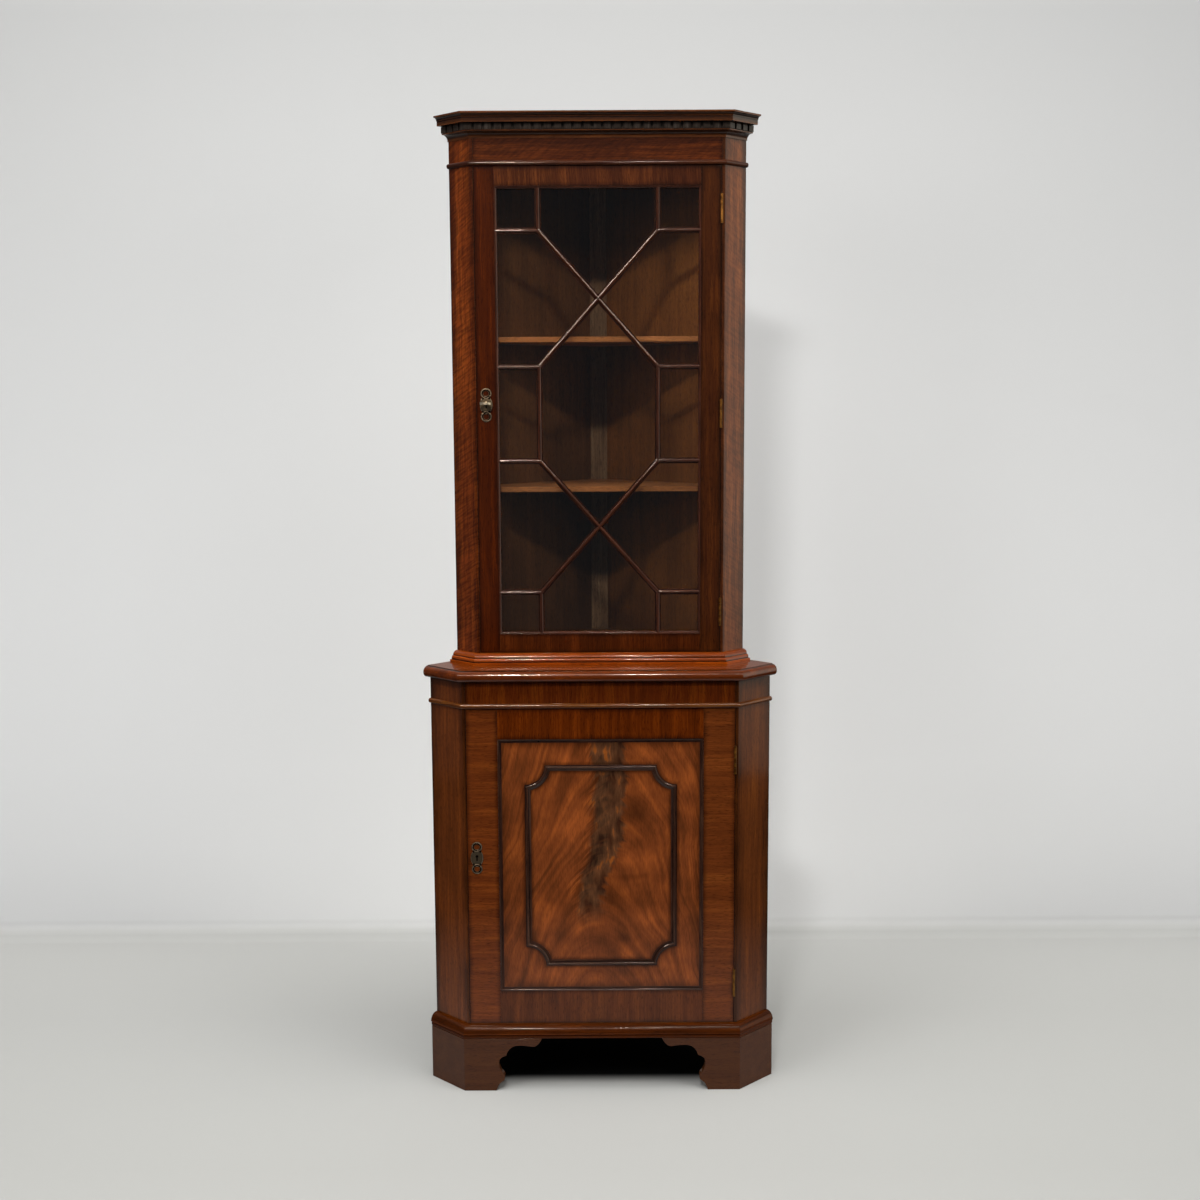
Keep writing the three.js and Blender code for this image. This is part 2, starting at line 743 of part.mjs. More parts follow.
// The lock's shape with a margin all round: a case let into the back of the stile, and an edge plate.
function lockEnvelope(door, margin) {
  const { caseHalf, face } = lockPlaces(door);
  const z = door.lockZ;
  const edge = -door.half - (margin > 0 ? overrun : 0);
  const back = door.back + (margin > 0 ? overrun : 0);
  const plateHalf = lockHeight / 2 + margin;
  const bodyHalf = caseHalf + margin;
  const plateIn = -door.half + lockPlate + margin;
  const bodyIn = -door.half + lockLength + margin;
  return join(
    block(edge, plateIn, face - margin, back, z - plateHalf, z + plateHalf),
    block(edge, bodyIn, face - margin, back, z - bodyHalf, z + bodyHalf),
  );
}

function addLock(prefix, door) {
  const { x, z, middle, face } = lockPlaces(door);
  const boltZ = door.lockZ + boltRise;
  const slotWide = boltThickness / 2 + runningGap;
  const slotHigh = boltHeight / 2 + runningGap;
  const slotIn = -door.half + boltLength + runningGap;
  const boltSlot = block(
    -door.half - overrun,
    slotIn,
    middle - slotWide,
    middle + slotWide,
    boltZ - slotHigh,
    boltZ + slotHigh,
  );
  const chamber = barAlongY(x, z, lockChamberRadius, face + lockPlate, door.back - lockPlate, 24);
  const keyhole = keyholeTool(x, z, face - overrun, face + lockPlate + runningGap);
  piece(prefix + "_lock", cut(lockEnvelope(door, 0), boltSlot, chamber, keyhole), brass);
  const wide = boltThickness / 2;
  const high = boltHeight / 2;
  const tip = -door.half + glueLine;
  const bolt = block(tip, -door.half + boltLength, middle - wide, middle + wide, boltZ - high, boltZ + high);
  piece(prefix + "_bolt", bolt, brass);
}

// Escutcheon: a shield with a keyhole between two pierced rings, in thin cast brass.
const piercingOutShare = 0.43;
const piercingUpShare = 0.73;

function addEscutcheon(name, door) {
  const { x } = lockPlaces(door);
  const z = door.lockZ;
  const y1 = door.front - glueLine;
  const y0 = y1 - escutcheonThickness;
  const ringRise = escutcheonHeight / 2 - escutcheonRingRadius;
  const plate = (shape) => frontShape(shape, y0, y1);
  const tool = (shape) => frontShape(shape, y0 - overrun, y1 + overrun, 6);
  const ring = (dz) => plate(ovalShape(x, z + dz, escutcheonRingRadius, escutcheonRingRadius));
  const eye = (dz) => tool(ovalShape(x, z + dz, escutcheonEyeRadius, escutcheonEyeRadius));
  const shield = plate(ovalShape(x, z, escutcheonWidth / 2, shieldHeight / 2));
  const piercings = [-1, 1].flatMap((across) =>
    [-1, 1].map((up) => {
      const px = x + (across * piercingOutShare * escutcheonWidth) / 2;
      const pz = z + (up * piercingUpShare * shieldHeight) / 2;
      return tool(ovalShape(px, pz, escutcheonPiercingRadius, escutcheonPiercingRadius));
    }),
  );
  const keyhole = keyholeTool(x, z + keyRise, y0 - overrun, y1 + overrun);
  const whole = join(shield, ring(ringRise), ring(-ringRise));
  piece(name, cut(whole, eye(ringRise), eye(-ringRise), keyhole, ...piercings), antiqueBrass);
}

// Key, turned so that its bow and bit lie level.
function keyGeometry(door) {
  const { x, z } = lockPlaces(door);
  const neckY = door.front - glueLine - escutcheonThickness - keyNeck;
  const endY = door.back - lockPlate - runningGap;
  const bowY = neckY - keyBowDepth / 2 + keyBowRing / 2;
  const bow = ovalShape(x, bowY, keyBowWidth / 2, keyBowDepth / 2);
  const eyeHalfWidth = keyBowWidth / 2 - keyBowRing;
  const eyeHalfDepth = keyBowDepth / 2 - keyBowRing;
  bow.holes.push(ovalShape(x, bowY, eyeHalfWidth, eyeHalfDepth));
  const bowSettings = { depth: keyBowThickness, bevelEnabled: false, curveSegments: 10 };
  const bowPlate = new THREE.ExtrudeGeometry(bow, bowSettings);
  bowPlate.translate(0, 0, z - keyBowThickness / 2);
  const collarEnd = neckY + keyBowRing + keyCollarLength;
  const collar = barAlongY(x, z, keyShankRadius + keyCollarLip, neckY + keyBowRing, collarEnd);
  const half = keyBitThickness / 2;
  const bit = block(x, x + keyBitLength, endY - keyBitDepth, endY, z - half, z + half);
  return join(barAlongY(x, z, keyShankRadius, neckY, endY), collar, bowPlate, bit);
}

// Butt hinge: two leaves let in flush, knuckles standing in front of the doors, pin in the frame leaf.
function leafGeometry(door, z, side) {
  const face = side > 0 ? door.jamb : door.half;
  const x0 = Math.min(face, face + side * leafThickness);
  const x1 = x0 + leafThickness;
  const base = z - leafHeight / 2;
  const step = leafHeight / knuckleCount;
  const first = side > 0 ? 0 : 1;
  const parts = [block(x0, x1, door.front, door.front + leafWidth, base, base + leafHeight)];
  for (let k = first; k < knuckleCount; k += 2) {
    const z0 = base + k * step + (k > 0 ? runningGap / 2 : 0);
    const z1 = base + (k + 1) * step - (k < knuckleCount - 1 ? runningGap / 2 : 0);
    parts.push(block(x0, x1, door.hinge.y, door.front + leafThickness, z0, z1));
    parts.push(barAlongZ(door.hinge.x, door.hinge.y, knuckleRadius, z0, z1));
  }
  if (side > 0) parts.push(barAlongZ(door.hinge.x, door.hinge.y, hingePinRadius, base, base + leafHeight));
  const leaf = join(...parts);
  if (side > 0) return leaf;
  const boreRadius = hingePinRadius + hingePinClearance;
  return cut(leaf, barAlongZ(door.hinge.x, door.hinge.y, boreRadius, base, base + leafHeight));
}

function addHinges(prefix, door) {
  door.hingeZ.forEach((z, i) => {
    piece(prefix + "_hinge_" + (i + 1) + "_frame_leaf", leafGeometry(door, z, 1), brass);
    piece(prefix + "_hinge_" + (i + 1) + "_door_leaf", leafGeometry(door, z, -1), brass);
  });
}

// A stile with its recesses: the lock and keyhole on the left, the hinge leaves on the right.
function fittedStile(door, section, hand) {
  const stile = prism(section.map((p) => point(hand * p.x, p.y)), door.bottom, door.top);
  if (hand > 0) return cut(stile, ...leafRecesses(door, -1));
  const { x, z } = lockPlaces(door);
  const keyhole = keyholeTool(x, z, door.front - overrun, door.back);
  return cut(stile, lockEnvelope(door, runningGap), keyhole);
}

// Glazed door: rebated stiles and rails, a lattice of glazing bars, one sheet of glass and a bead.
function addUpperDoor() {
  const door = upperDoor;
  const inner = door.half - upperStileWidth;
  const low = door.bottom + upperRailWidth;
  const high = door.top - upperRailWidth;
  const rebate = door.front + glassRebateDepth;
  const stile = [
    point(inner, door.front),
    point(door.half, door.front),
    point(door.half, door.back),
    point(inner + glassRebateWidth, door.back),
    point(inner + glassRebateWidth, rebate),
    point(inner, rebate),
  ];
  piece("upper_door_stile_left", fittedStile(door, stile, -1), mahogany);
  piece("upper_door_stile_right", fittedStile(door, stile, 1), mahogany);
  const rail = (z0, z1, rebateZ0, rebateZ1) => {
    const span = inner - glueLine;
    const ear = inner + glassRebateWidth - glueLine;
    return join(
      block(-span, span, door.front, rebate, z0, z1),
      block(-span, span, door.front, door.back, rebateZ0, rebateZ1),
      block(-ear, ear, rebate + glueLine, door.back, rebateZ0, rebateZ1),
    );
  };
  const topRail = rail(high, door.top, high + glassRebateWidth, door.top);
  const bottomRail = rail(door.bottom, low, door.bottom, low - glassRebateWidth);
  piece("upper_door_top_rail", topRail, mahogany);
  piece("upper_door_bottom_rail", bottomRail, mahogany);

  piece("upper_glazing_bars", glazingBars(door, inner, low, high), darkMahogany);

  const reach = glassRebateWidth - glueLine;
  const paneFront = rebate + glueLine;
  const paneBack = paneFront + glassThickness;
  const pane = block(-inner - reach, inner + reach, paneFront, paneBack, low - reach, high + reach);
  piece("upper_glass", pane, clearGlass);

  const bead = new THREE.Path();
  bead.moveTo(0, 0);
  bead.lineTo(glazingBeadWidth, 0);
  const beadRound = glazingBeadWidth - glassRebateWidth;
  bead.absellipse(glassRebateWidth, 0, beadRound, glazingBeadDepth, 0, Math.PI / 2, false);
  bead.lineTo(0, glazingBeadDepth);
  const beadRing = framedMoulding(
    outlinePoints(bead, 4),
    -inner - reach,
    inner + reach,
    low - reach,
    high + reach,
    paneBack + glueLine,
  );
  piece("upper_glazing_bead", beadRing, innerWood);
}

// Glazing bars: the thirteen-pane astragal pattern. Square panes fill the corners of the opening, two
// crossed pairs of diagonals run between them, and a tall centre pane lies between the crossings.
function glazingBars(door, inner, low, high) {
  const crown = door.front + barRecess;
  const back = door.front + glassRebateDepth;
  const shoulder = back - barFilletThickness;
  const section = new THREE.Shape();
  section.moveTo(-barWidth / 2, back);
  section.lineTo(-barWidth / 2, shoulder);
  section.lineTo(-barBeadWidth / 2, shoulder);
  section.absellipse(0, shoulder, barBeadWidth / 2, shoulder - crown, Math.PI, 2 * Math.PI, false);
  section.lineTo(barWidth / 2, shoulder);
  section.lineTo(barWidth / 2, back);
  const bar = (x0, z0, x1, z1) => {
    const along = new THREE.Vector3(x1 - x0, 0, z1 - z0);
    const length = along.length();
    along.normalize();
    const up = new THREE.Vector3(0, 1, 0);
    const across = up.clone().cross(along);
    const place = new THREE.Matrix4().makeBasis(across, up, along).setPosition(x0, 0, z0);
    const settings = { depth: length, bevelEnabled: false, curveSegments: 3 };
    return new THREE.ExtrudeGeometry(section, settings).applyMatrix4(place);
  };

  const border = new THREE.Path();
  border.moveTo(0, crown);
  border.absellipse(0, shoulder, borderWidth, shoulder - crown, -Math.PI / 2, 0, false);
  border.lineTo(borderWidth, back);
  border.lineTo(0, back);
  const edge = inner - glueLine;
  const frame = framedMoulding(outlinePoints(border, 3), -edge, edge, low + glueLine, high - glueLine, 0);

  const nodeX = edge - borderWidth - cornerPane;
  const topZ = high - borderWidth - cornerPane;
  const bottomZ = low + borderWidth + cornerPane;
  const middle = (low + high) / 2;
  const upperZ = middle + middlePaneHalf;
  const lowerZ = middle - middlePaneHalf;
  const lap = barBeadWidth / 2;
  const rim = borderWidth / 2;
  const bars = [];
  for (const hand of [-1, 1]) {
    const x = hand * nodeX;
    bars.push(bar(x, topZ - lap, x, high - rim));
    bars.push(bar(x, lowerZ - lap, x, upperZ + lap));
    bars.push(bar(x, low + rim, x, bottomZ + lap));
    for (const z of [topZ, upperZ, lowerZ, bottomZ]) {
      bars.push(bar(x - hand * lap, z, hand * (edge - rim), z));
    }
    bars.push(bar(x, topZ, -x, upperZ));
    bars.push(bar(x, bottomZ, -x, lowerZ));
  }
  return join(frame, ...bars);
}

// Panelled door: grooved stiles and rails round a flame-veneered panel, with a small bead in the
// angle and a moulding with re-entrant corners planted on the panel.
function addLowerDoor() {
  const door = lowerDoor;
  const inner = door.half - lowerStileWidth;
  const low = door.bottom + lowerBottomRailWidth;
  const high = door.top - lowerTopRailWidth;
  const panelFront = door.front + panelSetback;
  const panelBack = panelFront + panelThickness;
  const tongueFront = (panelFront + panelBack - panelTongueThickness) / 2;
  const tongueBack = tongueFront + panelTongueThickness;
  const grooveFront = tongueFront - glueLine;
  const grooveBack = tongueBack + glueLine;
  const stile = [
    point(inner, door.front),
    point(door.half, door.front),
    point(door.half, door.back),
    point(inner, door.back),
    point(inner, grooveBack),
    point(inner + panelTongue, grooveBack),
    point(inner + panelTongue, grooveFront),
    point(inner, grooveFront),
  ];
  piece("lower_door_stile_left", fittedStile(door, stile, -1), mahogany);
  piece("lower_door_stile_right", fittedStile(door, stile, 1), mahogany);
  const rail = (edgeZ, outerZ) => {
    const into = Math.sign(outerZ - edgeZ) * panelTongue;
    const span = inner - glueLine;
    const section = [
      point(door.front, outerZ),
      point(door.front, edgeZ),
      point(grooveFront, edgeZ),
      point(grooveFront, edgeZ + into),
      point(grooveBack, edgeZ + into),
      point(grooveBack, edgeZ),
      point(door.back, edgeZ),
      point(door.back, outerZ),
    ];
    const tenonReach = inner + panelTongue - glueLine;
    const tenonZ = [edgeZ + into, outerZ].sort((a, b) => a - b);
    const tenon = block(-tenonReach, tenonReach, tongueFront, tongueBack, tenonZ[0], tenonZ[1]);
    return join(alongX(section, -span, span), tenon);
  };
  piece("lower_door_top_rail", rail(high, door.top), mahogany);
  piece("lower_door_bottom_rail", rail(low, door.bottom), mahogany);

  const field = inner - runningGap;
  const fieldLow = low + runningGap;
  const fieldHigh = high - runningGap;
  const tongue = field + panelTongue;
  const panel = join(
    block(-field, field, panelFront, panelBack, fieldLow, fieldHigh),
    block(-tongue, tongue, tongueFront, tongueBack, fieldLow - panelTongue, fieldHigh + panelTongue),
  );
  piece("lower_door_panel", panel, flameMahogany);

  const bead = new THREE.Path();
  const beadBack = panelSetback - glueLine;
  bead.moveTo(0, glueLine);
  bead.lineTo(quirk, glueLine);
  const hollowDepth = beadBack - 2 * glueLine;
  bead.absellipse(panelBeadWidth, glueLine, panelBeadWidth - quirk, hollowDepth, Math.PI, Math.PI / 2, true);
  bead.lineTo(panelBeadWidth, beadBack);
  bead.lineTo(0, beadBack);
  const beadRing = framedMoulding(outlinePoints(bead, 3), -field, field, fieldLow, fieldHigh, door.front);
  piece("lower_panel_bead", beadRing, darkMahogany);

  const mouldHalf = inner - panelMouldInset;
  const mouldLow = low + panelMouldInset;
  const mouldHigh = high - panelMouldInset;
  const ring = reentrantMoulding(mouldHalf, mouldLow, mouldHigh, panelFront - glueLine);
  piece("lower_panel_moulding", ring, darkMahogany);
}

// A moulding round a rectangle with a quarter circle taken out of each corner. Insetting it moves the
// straights in and grows the corner arcs about the same centres, so every length meets in a mitre.
const crownShare = 0.36;
const crownHalfShare = 0.26;
const shoulderShare = 0.38;

function reentrantMoulding(half, low, high, y) {
  const section = new THREE.Path();
  const shoulder = panelMouldThickness * shoulderShare;
  const crown = panelMouldWidth * crownShare;
  const crownHalf = panelMouldWidth * crownHalfShare;
  section.moveTo(0, 0);
  section.lineTo(0, shoulder);
  section.lineTo(crown - crownHalf, shoulder);
  section.absellipse(crown, shoulder, crownHalf, panelMouldThickness - shoulder, Math.PI, 0, true);
  section.quadraticCurveTo(crown + 2 * crownHalf, quirk, panelMouldWidth, quirk);
  section.lineTo(panelMouldWidth, 0);
  const arcSteps = 8;
  const corners = [
    [half, high, Math.PI],
    [-half, high, 1.5 * Math.PI],
    [-half, low, 0],
    [half, low, Math.PI / 2],
  ];
  const rings = outlinePoints(section, 3).map((s) => {
    const radius = panelCornerRadius + s.x;
    const start = Math.asin(s.x / radius);
    const ring = [];
    for (const [x, z, turn] of corners) {
      for (let i = 0; i <= arcSteps; i++) {
        const angle = turn + Math.PI / 2 - start - ((Math.PI / 2 - 2 * start) * i) / arcSteps;
        ring.push(new THREE.Vector3(x + radius * Math.cos(angle), y - s.y, z + radius * Math.sin(angle)));
      }
    }
    return ring;
  });
  return skin(rings, null, true);
}

addUpperDoor();
addLock("upper", upperDoor);
addEscutcheon("upper_escutcheon", upperDoor);
piece("upper_key", keyGeometry(upperDoor), steel);
addHinges("upper", upperDoor);

addLowerDoor();
addLock("lower", lowerDoor);
addEscutcheon("lower_escutcheon", lowerDoor);
addHinges("lower", lowerDoor);

export default cupboard;
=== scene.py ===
"""The looks of a mahogany corner cupboard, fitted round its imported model.

+Z is up and the doors face -Y. Sizes named with capitals are in millimetres and angles in degrees. The
lamps and the camera are placed in metres.
"""

import json
import math

import bmesh
import bpy
import numpy as np
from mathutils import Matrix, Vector

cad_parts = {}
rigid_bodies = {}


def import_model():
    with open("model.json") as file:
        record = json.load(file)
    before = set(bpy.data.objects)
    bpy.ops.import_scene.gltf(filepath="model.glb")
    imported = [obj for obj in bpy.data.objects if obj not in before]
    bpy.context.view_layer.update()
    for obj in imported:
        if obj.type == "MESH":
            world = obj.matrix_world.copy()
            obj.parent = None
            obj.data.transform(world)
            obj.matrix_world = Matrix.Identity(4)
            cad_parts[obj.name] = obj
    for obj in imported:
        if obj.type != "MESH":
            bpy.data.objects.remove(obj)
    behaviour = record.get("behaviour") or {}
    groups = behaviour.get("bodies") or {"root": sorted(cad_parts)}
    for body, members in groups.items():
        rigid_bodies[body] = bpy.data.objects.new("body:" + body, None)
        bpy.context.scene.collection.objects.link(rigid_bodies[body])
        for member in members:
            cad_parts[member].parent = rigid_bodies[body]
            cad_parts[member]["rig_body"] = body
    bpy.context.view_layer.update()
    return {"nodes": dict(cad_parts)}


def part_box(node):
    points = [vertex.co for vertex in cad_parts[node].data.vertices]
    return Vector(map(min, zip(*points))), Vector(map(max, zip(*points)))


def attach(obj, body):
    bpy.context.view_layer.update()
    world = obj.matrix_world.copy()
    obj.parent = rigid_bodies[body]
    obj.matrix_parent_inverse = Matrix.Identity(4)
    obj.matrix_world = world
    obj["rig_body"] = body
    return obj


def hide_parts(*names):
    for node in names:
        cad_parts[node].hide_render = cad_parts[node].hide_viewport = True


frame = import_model()

# Studio floor and wall. Dead matt paper lies on the floor and sweeps up into a wall close behind the
# cupboard. To the camera its pale grey is graded along it as painted light and shade: palest at the foot
# of the wall, darker towards the front of the floor and the top of the wall, with a darker dip in the
# fold. Other rays see a painted pale pool of light round the feet in a dark floor, and the polish mirrors
# that. It is painted black under the cupboard as shade, and the view from behind passes through it.
MM = 0.001
WALL_Y = 670
SWEEP_RADIUS = 40
ROOM_HALF_WIDTH = 2800
ROOM_FRONT = -6000
ROOM_HEIGHT = 5000
POOL_INNER = 650
POOL_OUTER = 1300
POOL_TONE = "a9a8a5"
DARK_FLOOR = "2c2a28"
# Where the paper is painted black as shade under the cupboard, and how dark.
UNDER_HALF = 290
UNDER_FRONT = -165
UNDER_CORNER = 290
UNDER_SLOPE = 0.75
UNDER_FADE = 45
UNDER_PAINTED_SHADE = 0.008
# Painted light and shade: the paper's tones along its depth and height, palest at the foot of the wall.
TONES_FROM = -500
TONES_TO = 3500
PAPER_TONES = [
    (0, "b0b0ad"), (0.17, "bcbcb9"), (0.2825, "c8c8c5"), (0.2925, "c1c1be"),
    (0.2985, "dbdbd8"), (0.3025, "fffffe"), (0.35, "fffffe"), (0.4, "fafaf9"),
    (0.5, "ececeb"), (0.6, "dbdbda"), (0.72, "c6c6c5"), (0.84, "b0b0af"),
]


def linear(colour):
    """sRGB hex to linear RGBA: c / 12.92 up to 0.04045, and ((c + 0.055) / 1.055) ^ 2.4 above it."""
    srgb = np.array([int(colour[i : i + 2], 16) for i in (0, 2, 4)]) / 255
    rgb = np.where(srgb <= 0.04045, srgb / 12.92, ((srgb + 0.055) / 1.055) ** 2.4)
    return (*rgb.tolist(), 1.0)


def add(tree, kind, inputs=(), stops=(), **settings):
    """Adds one node. Its inputs are listed in the sockets' order or given by socket, each as a value, or
    as the output or node that feeds it. stops are a colour ramp's places and colours."""
    node = tree.nodes.new("ShaderNode" + kind)
    for name, value in settings.items():
        setattr(node, name, value)
    for key, value in inputs.items() if isinstance(inputs, dict) else enumerate(inputs):
        named = [s for s in node.inputs if s.enabled and s.name == key]
        socket = named[0] if named else node.inputs[key]
        if isinstance(value, bpy.types.Node):
            value = next(s for s in value.outputs if s.enabled)
        if isinstance(value, bpy.types.NodeSocket):
            tree.links.new(value, socket)
        else:
            socket.default_value = value
    for index, (place, colour) in enumerate(stops):
        ramp = node.color_ramp.elements
        stop = ramp[index] if index < len(ramp) else ramp.new(place)
        stop.position = place
        stop.color = linear(colour)
    return node


def new_material(name):
    """An empty material and its node tree."""
    material = bpy.data.materials.new(name)
    material.use_nodes = True
    material.node_tree.nodes.clear()
    return material, material.node_tree


def surface(name, points, loop_rows=False, loop_columns=False, caps=False, run=None, exposure=None):
    """A mesh from a grid of points, rows by columns by 3. Cell (i, j) is the quad of points (i, j),
    (i, j + 1), (i + 1, j + 1) and (i + 1, j). A looped direction joins its last line to its first, caps
    close the end rows, run holds a UV pair and exposure a number for each point."""
    rows, columns = points.shape[:2]
    i, j = np.meshgrid(np.arange(rows - 1 + loop_rows), np.arange(columns - 1 + loop_columns), indexing="ij")
    i, j = i.ravel(), j.ravel()
    corner_rows = np.stack([i, i, i + 1, i + 1], axis=1)
    corner_columns = np.stack([j, j + 1, j + 1, j], axis=1)
    faces = ((corner_rows % rows) * columns + corner_columns % columns).tolist()
    if caps:
        faces.append(list(range(columns))[::-1])
        faces.append(list(range((rows - 1) * columns, rows * columns)))
    mesh = bpy.data.meshes.new(name)
    mesh.from_pydata(points.reshape(-1, 3).tolist(), [], faces)
    if run is not None:
        pairs = np.zeros((len(mesh.loops), 2))
        pairs[: corner_rows.size] = run[corner_rows, corner_columns].reshape(-1, 2)
        mesh.uv_layers.new(name="run").data.foreach_set("uv", pairs.ravel())
    if exposure is not None:
        attribute = mesh.attributes.new("exposure", "FLOAT", "POINT")
        attribute.data.foreach_set("value", np.broadcast_to(exposure, (rows, columns)).ravel())
    mesh.update()
    piece = bpy.data.objects.new(name, mesh)
    bpy.context.scene.collection.objects.link(piece)
    return piece


sweep = np.radians(np.linspace(0, 90, 13))
sweep_y = WALL_Y - SWEEP_RADIUS + SWEEP_RADIUS * np.sin(sweep)
sweep_z = SWEEP_RADIUS - SWEEP_RADIUS * np.cos(sweep)
paper_y = np.concatenate([[ROOM_FRONT], sweep_y, [WALL_Y]])
paper_z = np.concatenate([[0], sweep_z, [ROOM_HEIGHT]])
paper_x = np.array([-ROOM_HALF_WIDTH, ROOM_HALF_WIDTH])
paper_grid = np.broadcast_arrays(paper_x, paper_y[:, None], paper_z[:, None])
paper = surface("studio_paper", np.stack(paper_grid, axis=2) * MM)
paper.data.shade_smooth()

material, tree = new_material("matt_grey_paper")
where = add(tree, "TexCoord").outputs["Object"]
place = add(tree, "SeparateXYZ", [where]).outputs
away = add(tree, "VectorMath", [where], operation="LENGTH").outputs["Value"]
# Painted pool of light: all rays but the camera's see the paper pale round the feet and on the wall, and
# dark on the floor beyond.
pool = add(tree, "MapRange", [away, POOL_INNER * MM, POOL_OUTER * MM, 1, 0])
upright = add(tree, "Math", [place["Z"], SWEEP_RADIUS * MM], operation="GREATER_THAN")
pool = add(tree, "Math", [pool, upright], operation="MAXIMUM")
dim = add(tree, "Mix", {"Factor": pool, "A": linear(DARK_FLOOR), "B": linear(POOL_TONE)}, data_type="RGBA")
# The camera sees the paper in these graded tones, which are painted light and shade.
along = add(tree, "Math", [place["Z"], place["Y"]], operation="ADD")
along = add(tree, "MapRange", [along, TONES_FROM * MM, TONES_TO * MM, 0, 1])
paper_tone = add(tree, "ValToRGB", [along], stops=PAPER_TONES)
seen = add(tree, "LightPath").outputs["Is Camera Ray"]
tint = add(tree, "Mix", {"Factor": seen, "A": dim, "B": paper_tone}, data_type="RGBA")
# Painted shade: under the cupboard the paper's colour fades to nearly black, inside its front, sides and
# walls.
aside = add(tree, "Math", [place["X"]], operation="ABSOLUTE")
from_front = add(tree, "Math", [place["Y"], UNDER_FRONT * MM], operation="SUBTRACT")
from_side = add(tree, "Math", [UNDER_HALF * MM, aside], operation="SUBTRACT")
back = add(tree, "Math", [aside, place["Y"]], operation="ADD")
walls_line = UNDER_SLOPE * UNDER_CORNER * MM
from_walls = add(tree, "Math", [back, -UNDER_SLOPE, walls_line], operation="MULTIPLY_ADD")
under = add(tree, "Math", [from_front, from_side], operation="MINIMUM")
under = add(tree, "Math", [under, from_walls], operation="MINIMUM")
under = add(tree, "MapRange", [under, 0, UNDER_FADE * MM, 1, UNDER_PAINTED_SHADE], interpolation_type="SMOOTHSTEP")
tint = add(tree, "VectorMath", {0: tint, "Scale": under}, operation="SCALE")
matt = add(tree, "BsdfDiffuse", {"Color": tint})
back_face = add(tree, "NewGeometry").outputs["Backfacing"]
one_sided = add(tree, "MixShader", [back_face, matt, add(tree, "BsdfTransparent")])
add(tree, "OutputMaterial", {"Surface": one_sided})
paper.data.materials.append(material)

# Studio light. A small lamp over the camera casts the shadows of the shelves, two soft ones fill the
# sides and a wide one hangs overhead. They show in no polish. The glints show only there, as warm bright
# lines on the mouldings. The room is dim, but a window on the right hazes the upper cant.
ROOM_GREY = "d6d7d5"
ROOM_TONE = (0.074, 0.08, 0.088)
WARM_LIGHT = (1.0, 0.95, 0.8)
WINDOW = 1.5
WINDOW_EDGE = (0.7, 0.95)
WINDOW_SILL = (-0.3, -0.08)
CEILING = 0.17
CEILING_EDGE = (0.55, 0.95)
GLINT_TINT = (1.0, 0.8, 0.66)
LAMPS = {
    "key": {"at": (-0.33, -2.85, 3.14), "aim": (0, 0, 1.0), "size": (0.36, 0.2), "power": 46},
    "softbox_left": {"at": (-2.7, -2.7, 2.15), "aim": (0, 0, 0.9), "size": (1.5, 1.2), "power": 28},
    "softbox_right": {"at": (2.7, -2.5, 2.1), "aim": (0, 0, 0.9), "size": (1.5, 1.2), "power": 19},
    "overhead": {"at": (0, -0.8, 3.6), "aim": (0, -0.8, 0), "size": (4.4, 2.0), "power": 130},
    "glint_left": {"at": (-1.86, -1.45, 3.45), "aim": (-1.86, -1.45, 0), "size": (1.3, 0.3), "power": 190},
    "glint_right": {"at": (1.86, -1.45, 3.45), "aim": (1.86, -1.45, 0), "size": (1.3, 0.3), "power": 100},
    "glint_over": {"at": (0, -2.8, 3.2), "aim": (0, 0, 1.0), "size": (2.4, 0.1), "power": 15},
    "glint_near": {"at": (-0.33, -2.7, 3.1), "aim": (0, 0, 1.0), "size": (0.14, 0.08), "power": 40},
    "glint_far": {"at": (0.17, -2.7, 3.1), "aim": (0, 0, 1.0), "size": (0.1, 0.08), "power": 26},
}

for name, lamp in LAMPS.items():
    glint = name.startswith("glint")
    data = bpy.data.lights.new(name, "AREA")
    data.shape = "RECTANGLE"
    data.size, data.size_y = lamp["size"]
    data.energy = lamp["power"]
    data.color = GLINT_TINT if glint else (1, 1, 1)
    light = bpy.data.objects.new(name, data)
    light.location = lamp["at"]
    light.rotation_euler = (Vector(lamp["aim"]) - Vector(lamp["at"])).to_track_quat("-Z", "Y").to_euler()
    light.visible_diffuse = not glint
    light.visible_glossy = glint
    bpy.context.scene.collection.objects.link(light)

world = bpy.data.worlds.new("studio")
bpy.context.scene.world = world
world.use_nodes = True
tree = world.node_tree
tree.nodes.clear()
way = add(tree, "SeparateXYZ", [add(tree, "TexCoord").outputs["Generated"]]).outputs
right = add(tree, "MapRange", [way["X"], *WINDOW_EDGE, 0, WINDOW])
sill = add(tree, "MapRange", [way["Z"], *WINDOW_SILL, 0, 1])
window = add(tree, "Math", [right, sill], operation="MULTIPLY")
ceiling = add(tree, "MapRange", [way["Z"], *CEILING_EDGE, 0, CEILING])
around = add(tree, "Math", [window, ceiling], operation="ADD")
around = add(tree, "VectorMath", [around, WARM_LIGHT, ROOM_TONE], operation="MULTIPLY_ADD")
seen = add(tree, "LightPath").outputs["Is Camera Ray"]
backdrop = add(tree, "Mix", {"Factor": seen, "A": around, "B": linear(ROOM_GREY)}, data_type="RGBA")
sky = add(tree, "Background", {"Color": backdrop})
add(tree, "OutputWorld", {"Surface": sky})
bpy.context.scene.view_settings.view_transform = "Standard"

